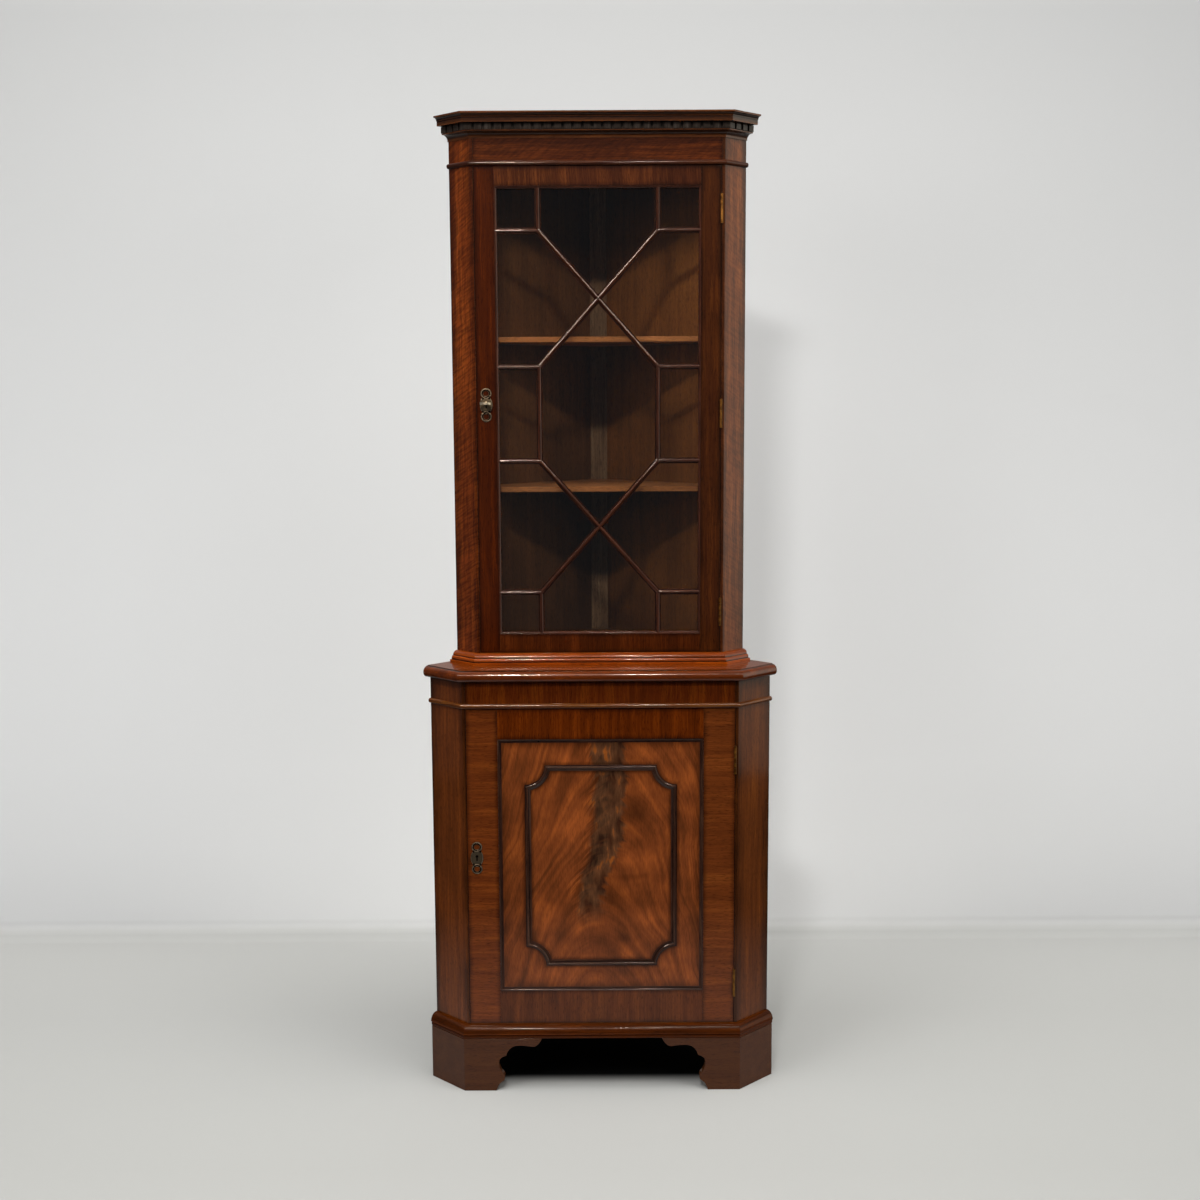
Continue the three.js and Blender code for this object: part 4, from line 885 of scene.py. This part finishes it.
def bar(start, end, y):
    """A glazing bar from start to end in the front plane. Its section is carried straight along, with
    the depth going back from y."""
    ends = np.array([start, end], float)
    way = (ends[1] - ends[0]) / np.linalg.norm(ends[1] - ends[0])
    outline = dense(bar_section)
    flat = ends[:, None, :] + outline[None, :, 0, None] * np.array([-way[1], way[0]])
    depth = np.broadcast_to(y + outline[:, 1], flat.shape[:2])
    rings = np.stack([flat[:, :, 0], depth, flat[:, :, 1]], axis=2)
    return moulding("bar", rings, outline, origin=ends[0].sum())


def joined(name, pieces):
    """Several pieces as one object, with their UVs and attributes."""
    with bpy.context.temp_override(active_object=pieces[0], selected_editable_objects=pieces):
        bpy.ops.object.join()
    pieces[0].name = name
    pieces[0].data.name = name
    return pieces[0]


(_, crown, low), (edge, _, high) = box_mm("upper_glazing_bars")
middle = (low + high) / 2
knot_x = edge - BORDER - CORNER_PANE
knots = [high - BORDER - CORNER_PANE, middle + MIDDLE_PANE_HALF]
knots += [middle - MIDDLE_PANE_HALF, low + BORDER + CORNER_PANE]
rim = BORDER / 2
lap = BAR_BEAD / 2
bars = [framed("border", border_section, -edge, edge, low, high, crown)]
for hand in (-1, 1):
    x = hand * knot_x
    bars.append(bar((x, knots[0] - lap), (x, high - rim), crown))
    bars.append(bar((x, knots[2] - lap), (x, knots[1] + lap), crown))
    bars.append(bar((x, low + rim), (x, knots[3] + lap), crown))
    for z in knots:
        bars.append(bar((x - hand * lap, z), (hand * (edge - rim), z), crown))
    bars.append(bar((x, knots[0]), (-x, knots[1]), crown))
    bars.append(bar((x, knots[3]), (-x, knots[2]), crown))
bar_wood = moulded_wood("glazing_bar_wood", ("1c0c06", "34190f", "522b1b"), 5, 67.4)
seat(joined("glazing_bar_lattice", bars), "upper_glazing_bars", bar_wood)

# Glass and its bead. One sheet of 3 mm drawn glass lies behind the bars, held from inside by a small
# rounded bead of stained wood. Lamps shine through it as they do through clear glass.
GLASS_TINT = "f1f5f3"
GLASS_WAVES = (4, 4, 2)  # waves per metre
WAVE_DEPTH = 0.4
WAVE_STRENGTH = 0.4
GLASS_ROUGHNESS = 0.02
material, tree = new_material("drawn_sheet_glass")
placed = add(tree, "Mapping", {"Vector": add(tree, "TexCoord").outputs["Object"], "Scale": GLASS_WAVES})
waves = add(tree, "TexNoise", {"Vector": placed, "Scale": 1.0, "Detail": 1.0})
bump = add(tree, "Bump", {"Height": waves, "Distance": WAVE_DEPTH * MM, "Strength": WAVE_STRENGTH})
mirror = add(tree, "BsdfGlossy", {"Color": (1, 1, 1, 1), "Roughness": GLASS_ROUGHNESS, "Normal": bump})
clear = add(tree, "BsdfTransparent", {"Color": linear(GLASS_TINT)})
share = add(tree, "Fresnel", {"IOR": 1.5, "Normal": bump})
pane = add(tree, "MixShader", [share, clear, mirror])
casting = add(tree, "LightPath").outputs["Is Shadow Ray"]
lit = add(tree, "MixShader", [casting, pane, add(tree, "BsdfTransparent")])
add(tree, "OutputMaterial", {"Surface": lit})
glass = frame["nodes"]["upper_glass"]
glass.data.materials.clear()
glass.data.materials.append(material)
worked("upper_glazing_bead", board_wood, arris=0.4)

# Frame of the panelled door. The stiles are cross-grained, so their figure lies level, and the rails
# stand upright. Both are lighter than the upper door and darker at the edges, partly toner and partly
# painted shade.
LOWER_DOOR_COLOURS = {
    "lower_door_stile_left": ("401b09", "652e0f", "904b19"),
    "lower_door_stile_right": ("401c09", "673111", "904e1d"),
    "lower_door_top_rail": ("331101", "562102", "7c3506"),
    "lower_door_bottom_rail": ("331706", "55280f", "6f3a15"),
}
for order, (node, colours) in enumerate(LOWER_DOOR_COLOURS.items()):
    stile = "stile" in node
    veneer = mahogany(
        node + "_veneer",
        colours,
        grain=LEVEL if stile else UPRIGHT,
        band=13,
        spread=0.36 if stile else 0.27,
        seed=71.9 + order,
        tone=(node, 9, 0.6),
    )
    worked(node, veneer)

# Flame panel. Crotch veneer cut where a limb left the trunk: a dark ragged plume leans down the middle,
# barbed on its left, and feathers arch away from it and fall to both sides. Painted shade darkens it
# along its edges and along the mouldings. Its back is plain straight-grained veneer.
SWAYS = [(115, 34), (36, 6)]  # size and reach
LEAN = (-80, 90, -17, 15)  # two heights, and the middle of the plume at both
FALLS = [(0.1, 1.6), (0.0095, 2.0)]  # the feathers fall by gain * out ^ power, left and right
SIDE_BLEND = 5
FEATHERS = {"wide": (34, 130, 2.0), "fine": (3.2, 46, 2.0), "barb": (11, 34, 1.0)}
CLOUD = 60
FINE_SHARE = 0.14
CLOUD_SHARE = 0.42
FLAME_STOPS = [(0.35, "562b12"), (0.5, "783c1a"), (0.64, "9a4f21")]
BARBS = {"from": 16, "to": 56, "right": 0.1, "foot": (-110, -40, 0.15, 1), "tone": (0.45, 0.54, -0.6, 0.28)}
PATCHES = [  # x, z, half width and half height from the middle of the panel, and gain
    (64, 108, 40, 52, 0.6),
    (24, -58, 38, 56, 0.62),
    (20, -150, 90, 34, 0.72),
    (-55, 60, 52, 110, 1.3),
    (64, 10, 60, 30, 1.2),
    (-70, -108, 44, 36, 1.2),
    (86, -98, 40, 32, 1.16),
    (-165, -10, 44, 230, 0.76),
    (160, -30, 26, 130, 1.16),
    (-60, 205, 60, 30, 1.2),
    (110, 200, 50, 30, 1.14),
    (-70, -205, 40, 24, 1.18),
    (52, -22, 58, 9, 0.72),
    (38, -143, 28, 14, 0.72),
]
PATCH_DEPTH = 10000
PATCH_EDGE = (0.1, 1)
PLUME_HALF = (-80, 60, 17, 29)
PLUME_FOOT = (-120, -70, 0, 1)
PLUME_EDGE = (-33, -20, 0.86, 0)
PLUME_BARBS = -34
PLUME_CLOUD = -22
FLECKS = (0.07, 0.1, 0.026)  # cells per millimetre, as in BACK_GRAIN and FLAME_PORES
PLUME_STOPS = [(0.34, "23170f"), (0.47, "432d1d"), (0.6, "5b3c26"), (0.69, "96511f")]
BACK_GRAIN = (0.11, 0.11, 0.0045)
BACK_STOPS = [(0.36, "522910"), (0.64, "74421f")]
FLAME_PORES = (0.7, 0.8, 0.09)
FLAME_PORE_TONES = (0.4, 0.7, 1.06, 0.78)
FLAME_PORE_RISE = 0.6
EDGE_SHADE = (5, 32, 0.42, 1)
CORNER_RADIUS = 38
MOULD_WIDTH = 11.6
MOULD_SHADE = (5, 14, 0.5, 1)
FLAME_ROUGHNESS = (0.3, 0.46)
panel_low, panel_high = (np.array(corner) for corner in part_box("lower_door_panel"))
(_, _, mould_low), (mould_right, mould_back, mould_high) = box_mm("lower_panel_moulding")
mould_half = (mould_high - mould_low) / 2

material, tree = new_material("flame_mahogany_veneer")
where = add(tree, "TexCoord").outputs["Object"]
flat = add(tree, "VectorMath", [where, tuple((panel_low + panel_high) / 2)], operation="SUBTRACT")
flat = add(tree, "VectorMath", {0: flat, "Scale": 1 / MM}, operation="SCALE")
bent = flat
for size, reach in SWAYS:
    sway = add(tree, "TexNoise", {"Vector": flat, "Scale": 1 / size, "Detail": 1.0}).outputs["Color"]
    sway = add(tree, "VectorMath", [sway, (0.5, 0.5, 0.5)], operation="SUBTRACT")
    sway = add(tree, "VectorMath", {0: sway, "Scale": reach}, operation="SCALE")
    bent = add(tree, "VectorMath", [bent, sway], operation="ADD")
place = add(tree, "SeparateXYZ", [bent]).outputs
up = place["Z"]
lean = add(tree, "MapRange", [up, *LEAN], interpolation_type="SMOOTHSTEP")
off = add(tree, "Math", [place["X"], lean], operation="SUBTRACT")
out = add(tree, "Math", [off], operation="ABSOLUTE")
to_right = add(tree, "MapRange", [off, -SIDE_BLEND, SIDE_BLEND, 0, 1], interpolation_type="SMOOTHSTEP")
falls = []
for gain, power in FALLS:
    bow = add(tree, "Math", [out, power], operation="POWER")
    falls.append(add(tree, "Math", [bow, gain], operation="MULTIPLY"))
fall = add(tree, "Mix", {"Factor": to_right, "A": falls[0], "B": falls[1]}, data_type="FLOAT")
arch = add(tree, "Math", [up, fall], operation="ADD")
feathers = {}
for layer, (thickness, length, detail) in FEATHERS.items():
    across = add(tree, "Math", [arch, 1 / thickness], operation="MULTIPLY")
    along = add(tree, "Math", [off, 1 / length], operation="MULTIPLY")
    at = add(tree, "CombineXYZ", [along, across])
    feathers[layer] = add(tree, "TexNoise", {"Vector": at, "Scale": 1.0, "Detail": detail})
cloud = add(tree, "TexNoise", {"Vector": flat, "Scale": 1 / CLOUD, "Detail": 2.0})
blend = feathers["wide"]
for share, layer in ((FINE_SHARE, feathers["fine"]), (CLOUD_SHARE, cloud)):
    blend = add(tree, "Mix", {"Factor": share, "A": blend, "B": layer}, data_type="FLOAT")
figured = add(tree, "ValToRGB", [blend], stops=FLAME_STOPS)

# The barbs and the soft patches of the figure.
near = add(tree, "MapRange", [out, BARBS["from"], BARBS["to"], 1, 0])
near = add(tree, "MapRange", [to_right, 0, 1, near, BARBS["right"]])
low_down = add(tree, "MapRange", [up, *BARBS["foot"]])
near = add(tree, "Math", [near, low_down], operation="MULTIPLY")
barbed = add(tree, "MapRange", [feathers["barb"], *BARBS["tone"]])
gains = [add(tree, "Math", [barbed, near, 1], operation="MULTIPLY_ADD")]
for x, z, half_x, half_z, gain in PATCHES:
    placing = {"Vector": bent, "Location": (x, 0, z), "Scale": (half_x, PATCH_DEPTH, half_z)}
    reach = add(tree, "Mapping", placing, vector_type="TEXTURE")
    reach = add(tree, "VectorMath", [reach], operation="LENGTH").outputs["Value"]
    gains.append(add(tree, "MapRange", [reach, *PATCH_EDGE, gain, 1], interpolation_type="SMOOTHSTEP"))
for gain in gains:
    figured = add(tree, "VectorMath", {0: figured, "Scale": gain}, operation="SCALE")

# The plume, and the plain back.
ragged = add(tree, "Math", [feathers["barb"], PLUME_BARBS, out], operation="MULTIPLY_ADD")
ragged = add(tree, "Math", [cloud, PLUME_CLOUD, ragged], operation="MULTIPLY_ADD")
half = add(tree, "MapRange", [up, *PLUME_HALF])
beyond = add(tree, "Math", [ragged, half], operation="SUBTRACT")
plume = add(tree, "MapRange", [beyond, *PLUME_EDGE], interpolation_type="SMOOTHSTEP")
foot = add(tree, "MapRange", [up, *PLUME_FOOT])
plume = add(tree, "Math", [plume, foot], operation="MULTIPLY")
flecks = add(tree, "VectorMath", [bent, FLECKS], operation="MULTIPLY")
flecks = add(tree, "TexNoise", {"Vector": flecks, "Scale": 1.0, "Detail": 2.5})
plume_colour = add(tree, "ValToRGB", [flecks], stops=PLUME_STOPS)
figured = add(tree, "Mix", {"Factor": plume, "A": figured, "B": plume_colour}, data_type="RGBA")
behind = add(tree, "MapRange", [add(tree, "SeparateXYZ", [flat]).outputs["Y"], -1, 1, 0, 1])
straight = add(tree, "VectorMath", [flat, BACK_GRAIN], operation="MULTIPLY")
straight = add(tree, "TexNoise", {"Vector": straight, "Scale": 1.0, "Detail": 3.0})
plain = add(tree, "ValToRGB", [straight], stops=BACK_STOPS)
figured = add(tree, "Mix", {"Factor": behind, "A": figured, "B": plain}, data_type="RGBA")

# Pores, and the painted shade along the edges and along the planted moulding, whose distance is the
# larger of that past its rectangle and that into its re-entrant corner.
pores = add(tree, "VectorMath", [flat, FLAME_PORES], operation="MULTIPLY")
pores = add(tree, "TexNoise", {"Vector": pores, "Scale": 1.0, "Detail": 1.0})
pored = add(tree, "MapRange", [pores, *FLAME_PORE_TONES])
from_corner = add(tree, "VectorMath", [flat], operation="ABSOLUTE")
from_corner = add(tree, "VectorMath", [from_corner, (mould_right, 0, mould_half)], operation="SUBTRACT")
from_corner = add(tree, "VectorMath", [from_corner, (1, 0, 1)], operation="MULTIPLY")
sides = add(tree, "SeparateXYZ", [from_corner]).outputs
past = add(tree, "Math", [sides["X"], sides["Z"]], operation="MAXIMUM")
cut_in = add(tree, "VectorMath", [from_corner], operation="LENGTH").outputs["Value"]
cut_in = add(tree, "Math", [CORNER_RADIUS, cut_in], operation="SUBTRACT")
past = add(tree, "Math", [past, cut_in], operation="MAXIMUM")
past = add(tree, "Math", [past, MOULD_WIDTH / 2], operation="ADD")
past = add(tree, "Math", [past], operation="ABSOLUTE")
inside = add(tree, "Math", [edge_gap(tree, where, "lower_door_panel"), 1 / MM], operation="MULTIPLY")
gains = [pored]
# Painted shade along the edges and the moulding, on the front face only.
for gap, shade in ((inside, EDGE_SHADE), (past, MOULD_SHADE)):
    painted_shade = add(tree, "MapRange", [gap, *shade], interpolation_type="SMOOTHSTEP")
    gains.append(add(tree, "Math", [painted_shade, behind], operation="MAXIMUM"))
for gain in gains:
    figured = add(tree, "VectorMath", {0: figured, "Scale": gain}, operation="SCALE")
rough = add(tree, "MapRange", [feathers["fine"], *NOISE_SPAN, *FLAME_ROUGHNESS])
height = add(tree, "Math", [pored, FLAME_PORE_RISE, feathers["fine"]], operation="MULTIPLY_ADD")
bump = add(tree, "Bump", {"Height": height, "Distance": SURFACE_DEPTH * MM, "Strength": 1.0})
french_polish(tree, figured, rough, 0.5, {"Normal": bump})
worked("lower_door_panel", material)

# Bead in the angle round the panel. A small hollow run along the stiles and rails, stained black brown
# so that the panel reads as sunk.
PANEL_SETBACK = 3
PANEL_BEAD = 7
hollow_back = PANEL_SETBACK - GLUE_LINE
bead_section = np.concatenate(
    [
        [[0, GLUE_LINE], [QUIRK, GLUE_LINE]],
        arc((PANEL_BEAD, GLUE_LINE), (PANEL_BEAD - QUIRK, hollow_back - 2 * GLUE_LINE), 180, 90, 9)[1:],
        [[PANEL_BEAD, hollow_back], [0, hollow_back]],
    ]
)
black_moulding = moulded_wood("black_moulding_wood", ("150b07", "301b12", "523626"), 6, 81.4)
(left, front, bottom), (right, _, top) = box_mm("lower_panel_bead")
piece = framed("panel_bead_run", bead_section, left, right, bottom, top, front - GLUE_LINE)
seat(piece, "lower_panel_bead", black_moulding)

# Moulding planted on the panel. A small ogee with re-entrant quarter circles at its corners, stained
# black brown, with a thin tan line along the crest that is partly rubbing and partly painted highlight.
MOULD_THICKNESS = 6
MOULD_SHARES = {"shoulder": 0.38, "crown": 0.36, "crown_half": 0.26}
ARC_STEPS = 22
shoulder = MOULD_THICKNESS * MOULD_SHARES["shoulder"]
crown_at = MOULD_WIDTH * MOULD_SHARES["crown"]
crown_half = MOULD_WIDTH * MOULD_SHARES["crown_half"]
slope = np.linspace(0, 1, 8)[1:, None]
start = np.array([crown_at + crown_half, shoulder])
bend = np.array([crown_at + 2 * crown_half, QUIRK])
end = np.array([MOULD_WIDTH, QUIRK])
mould_section = np.concatenate(
    [
        [[0, 0], [0, shoulder]],
        arc((crown_at, shoulder), (crown_half, MOULD_THICKNESS - shoulder), 180, 0, 13),
        (1 - slope) ** 2 * start + 2 * slope * (1 - slope) * bend + slope**2 * end,
        [[MOULD_WIDTH, 0]],
    ]
)
outline = dense(mould_section)
radius = CORNER_RADIUS + outline[:, 0]
trim = np.arcsin(outline[:, 0] / radius)
sweep = np.linspace(0, 1, ARC_STEPS)[:, None]
depth = np.broadcast_to(mould_back - outline[:, 1], (ARC_STEPS, len(outline)))
rows = []
for hand, z, quarter in ((1, mould_high, 3), (-1, mould_high, 4), (-1, mould_low, 1), (1, mould_low, 2)):
    x = hand * mould_right
    angle = math.pi / 2 * quarter - trim - (math.pi / 2 - 2 * trim) * sweep
    rows.append(np.stack([x + radius * np.cos(angle), depth, z + radius * np.sin(angle)], axis=2))
piece = moulding("panel_moulding_run", np.concatenate(rows), outline, closed=True)
seat(piece, "lower_panel_moulding", black_moulding)

# Butt hinges. Rolled brass leaves let in flush, with five knuckles and a pin, dulled by handling. Each
# leaf is held by three countersunk slotted screws.
LEAF_WIDTH = 16
SCREW_PITCH = 18
SCREW_STAGGER = 0.14
SCREW_RADIUS = 3.1
SCREW_SLOT = 0.7
SCREW_RISE = 0.1
SLOT_FLOOR = 0.02
HEAD_RADIUS_SHARES = np.array([0.01, 0.35, 0.9, 0.98, 1.0, 0.98, 0.01])
HEAD_RISE_SHARES = np.array([1, 1, 1, 0.8, 0.2, 0, 0])
SCRATCHES = (900, 900, 70)  # per metre
SCRATCH_DEPTH = 0.02
TARNISH_SPAN = (0.38, 0.62)
BARE_SPAN = (0.65, 1.15)
ROUGHNESS_SPREAD = (-0.1, 0.12)
FIRST_TURN = 25
TURN_STEP = 50


def metal(name, colours, roughness, grain_size, patina=None):
    """A worked metal. Noise at grain_size mixes its two colours and roughens it, and patina, if given,
    is the colour that stays in its hollows while the crests are rubbed bare."""
    material, tree = new_material(name)
    where = add(tree, "TexCoord").outputs["Object"]
    tarnish = add(tree, "TexNoise", {"Vector": where, "Scale": 1 / (grain_size * MM), "Detail": 3.0})
    scratch = add(tree, "Mapping", {"Vector": where, "Scale": SCRATCHES})
    scratch = add(tree, "TexNoise", {"Vector": scratch, "Scale": 1.0, "Detail": 1.0})
    colour = add(tree, "ValToRGB", [tarnish], stops=zip(TARNISH_SPAN, colours))
    if patina:
        worn = add(tree, "Attribute", attribute_name="exposure").outputs["Fac"]
        worn = add(tree, "Math", [tarnish, 0.5, worn], operation="MULTIPLY_ADD")
        bare = add(tree, "MapRange", [worn, *BARE_SPAN, 0, 1])
        colour = add(tree, "Mix", {"Factor": bare, "A": linear(patina), "B": colour}, data_type="RGBA")
    smoothest, roughest = (roughness + change for change in ROUGHNESS_SPREAD)
    rough = add(tree, "MapRange", [tarnish, *NOISE_SPAN, smoothest, roughest])
    bump = add(tree, "Bump", {"Height": scratch, "Distance": SCRATCH_DEPTH * MM, "Strength": 1.0})
    values = {"Base Color": colour, "Metallic": 1.0, "Roughness": rough, "Normal": bump}
    add(tree, "OutputMaterial", {"Surface": add(tree, "BsdfPrincipled", values)})
    return material


def screw_heads(name, places, across):
    """Countersunk slotted heads, all facing one way along x. Each is a disc of rings whose radius goes
    from the middle to the rim and back below, with a slot sunk where |u| is under half its width."""
    heads = []
    for order, (x, y, z) in enumerate(places):
        angle = np.radians(np.linspace(0, 360, 25)[:-1])
        u = SCREW_RADIUS * HEAD_RADIUS_SHARES[:, None] * np.cos(angle)
        v = SCREW_RADIUS * HEAD_RADIUS_SHARES[:, None] * np.sin(angle)
        lift = np.broadcast_to(SCREW_RISE * HEAD_RISE_SHARES[:, None], u.shape)
        slot_cut = (np.abs(u) < SCREW_SLOT / 2) & (lift > SCREW_RISE / 2)
        lift = np.where(slot_cut, SLOT_FLOOR, lift)
        turn = math.radians(FIRST_TURN + TURN_STEP * order)
        spun_y = u * math.cos(turn) - v * math.sin(turn)
        spun_z = u * math.sin(turn) + v * math.cos(turn)
        rings = np.stack([x + across * lift, y + spun_y, z + spun_z], axis=2)
        heads.append(outward(surface("head", rings * MM, loop_columns=True, caps=True)))
    return joined(name, heads)


dull_brass = metal("dull_rolled_brass", ("5a3c1c", "86602f"), 0.5, 9)
screw_brass = metal("screw_brass", ("6a4c22", "94703a"), 0.38, 4)
for node in sorted(n for n in frame["nodes"] if "_hinge_" in n):
    worked(node, dull_brass, arris=0.25)
    stage = node.split("_")[0]
    on_frame = node.endswith("frame_leaf")
    if on_frame:
        face = box_mm(stage + "_side_right")[0][0]
    else:
        face = box_mm(stage + "_door_stile_right")[1][0]
    (_, _, bottom), (_, back, top) = box_mm(node)
    places = []
    for aside, up in ((1, -1), (-1, 0), (1, 1)):
        y = back - LEAF_WIDTH * (0.5 - SCREW_STAGGER * aside)
        places.append((face, y, (bottom + top) / 2 + SCREW_PITCH * up))
    heads = screw_heads(node.replace("_leaf", "_screws"), places, -1 if on_frame else 1)
    seat(heads, node, screw_brass, stands_for=())

# Cut locks. Cased brass locks let into the back of each left stile, with a plate on the door's edge that
# the bolt shoots through.
LOCK_SCREW_INSET = 3.4
for stage in ("upper", "lower"):
    worked(stage + "_lock", dull_brass, arris=0.3)
    worked(stage + "_bolt", dull_brass, arris=0.4)
    (left, front, bottom), (_, back, top) = box_mm(stage + "_lock")
    places = [(left, (front + back) / 2, z) for z in (bottom + LOCK_SCREW_INSET, top - LOCK_SCREW_INSET)]
    heads = screw_heads(stage + "_lock_screws", places, -1)
    seat(heads, stage + "_lock", screw_brass, stands_for=())

# Escutcheons. Thin cast brass, dark with age, rubbed pale on its raised rings, bosses and rim, and
# pinned at top and bottom. Black rings in the eyes of its rings and in the hollows beside the shield, and
# a black plate behind the keyhole, are painted shade for the dark in those openings and inside the lock.
RING_RADIUS = 10.3
EYE_RADIUS = 5.3
RAISED_RING = {"out": 0.8, "tube": 1.5}
SHIELD = {"half_width": 11.1, "half_height": 16.1, "tube": 1.3}
PIN = {"radius": 1.1, "sunk": 0.7}
BOSS = {"radius": 1.2, "sunk": 0.4, "in": 0.5, "drop": 4}
EYE_SHADE = {"radii": (6.9, 6.9), "tube": 2.2}
SIDE_SHADE = {"x": 6.4, "z": 12.6, "radii": (1.1, 1.1), "tube": 2.1}
KEY_RISE = 3
KEYHOLE_HALF = 3.6
KEYHOLE_FOOT = -10
KEYHOLE_TOP = {"upper": -3.2, "lower": 4}  # the upper one ends under the shank of the key
PLATE_DEPTH = 0.8
PLATE_THICKNESS = 0.2


def cast_ring(centre, radii, tube, y, steps=40):
    """A half-raised ring: an ellipse of the given radii in the front plane, with a tube round it that is
    tube wide and two thirds as deep. Exposure is the share of the tube's height."""
    turn = np.radians(np.linspace(0, 360, steps, endpoint=False))[:, None]
    round_it = np.radians(np.linspace(0, 360, 12, endpoint=False))[None, :]
    x = centre[0] + (radii[0] + tube / 2 * np.cos(round_it)) * np.cos(turn)
    z = centre[1] + (radii[1] + tube / 2 * np.cos(round_it)) * np.sin(turn)
    depth = np.broadcast_to(y - tube / 3 * np.sin(round_it), x.shape)
    points = np.stack([x, depth, z], axis=2) * MM
    exposure = 0.5 + 0.5 * np.sin(round_it)
    return outward(surface("ring", points, loop_rows=True, loop_columns=True, exposure=exposure))


def cast_boss(centre, radius, y):
    """A small domed boss: rings of radius sin(a) and height 0.8 cos(a), times its radius, from the pole
    to the rim."""
    fall = np.radians(np.linspace(2, 90, 7))[:, None]
    turn = np.radians(np.linspace(0, 360, 14, endpoint=False))[None, :]
    x = centre[0] + radius * np.sin(fall) * np.cos(turn)
    z = centre[1] + radius * np.sin(fall) * np.sin(turn)
    depth = np.broadcast_to(y - radius * 0.8 * np.cos(fall), x.shape)
    points = np.stack([x, depth, z], axis=2) * MM
    exposure = np.cos(fall) * 0.6 + 0.4
    return outward(surface("boss", points, loop_columns=True, caps=True, exposure=exposure))


def black_plate(left, right, bottom, top, y):
    """A thin black plate of painted shade, in the thickness of the brass. Its eight corners are two rings of
    four.
    """
    x = np.array([left, right, right, left])
    z = np.array([bottom, bottom, top, top])
    rings = np.stack([np.stack([x, np.full(4, depth), z], axis=1) for depth in (y, y + PLATE_THICKNESS)])
    return outward(surface("plate", rings * MM, loop_columns=True, caps=True))


antique_brass = metal("antique_cast_brass", ("5a5245", "857b6b"), 0.5, 3, patina="554e41")
# Plain black, painted shade for the eyes, the hollows and the inside of the lock.
shade_black = metal("painted_shade_black", ("0a0806", "18120e"), 0.6, 3)
for stage in ("upper", "lower"):
    node = stage + "_escutcheon"
    worked(node, antique_brass, arris=0.3)
    (left, face, bottom), (right, _, top) = box_mm(node)
    x, z = (left + right) / 2, (bottom + top) / 2
    ring_rise = (top - bottom) / 2 - RING_RADIUS
    ring_middle = (RING_RADIUS + EYE_RADIUS) / 2
    raised = ring_middle + RAISED_RING["out"]
    keyhole = z + KEY_RISE
    relief = []
    hollows = [
        black_plate(
            x - KEYHOLE_HALF,
            x + KEYHOLE_HALF,
            keyhole + KEYHOLE_FOOT,
            keyhole + KEYHOLE_TOP[stage],
            face + PLATE_DEPTH,
        )
    ]
    for up in (-1, 1):
        eye = (x, z + up * ring_rise)
        pin = (x, z + up * (ring_rise + ring_middle))
        relief.append(cast_ring(eye, (raised, raised), RAISED_RING["tube"], face))
        relief.append(cast_boss(pin, PIN["radius"], face - PIN["sunk"]))
        hollows.append(cast_ring(eye, EYE_SHADE["radii"], EYE_SHADE["tube"], face))
        for hand in (-1, 1):
            boss = (x + hand * (ring_middle - BOSS["in"]), z + up * (ring_rise - BOSS["drop"]))
            side = (x + hand * SIDE_SHADE["x"], z + up * SIDE_SHADE["z"])
            relief.append(cast_boss(boss, BOSS["radius"], face - BOSS["sunk"]))
            hollows.append(cast_ring(side, SIDE_SHADE["radii"], SIDE_SHADE["tube"], face, steps=12))
    relief.append(cast_ring((x, z), (SHIELD["half_width"], SHIELD["half_height"]), SHIELD["tube"], face))
    seat(joined(node + "_relief", relief), node, antique_brass, stands_for=())
    seat(joined(node + "_hollows", hollows), node, shade_black, stands_for=())

# Key. Turned steel shank with a collar, an oval forged bow and a flat bit, dull nickel plate worn at
# the bow.
key_nickel = metal("worn_nickel_plate", ("b5ab92", "f0e8d2"), 0.34, 5)
worked("upper_key", key_nickel, arris=0.5)
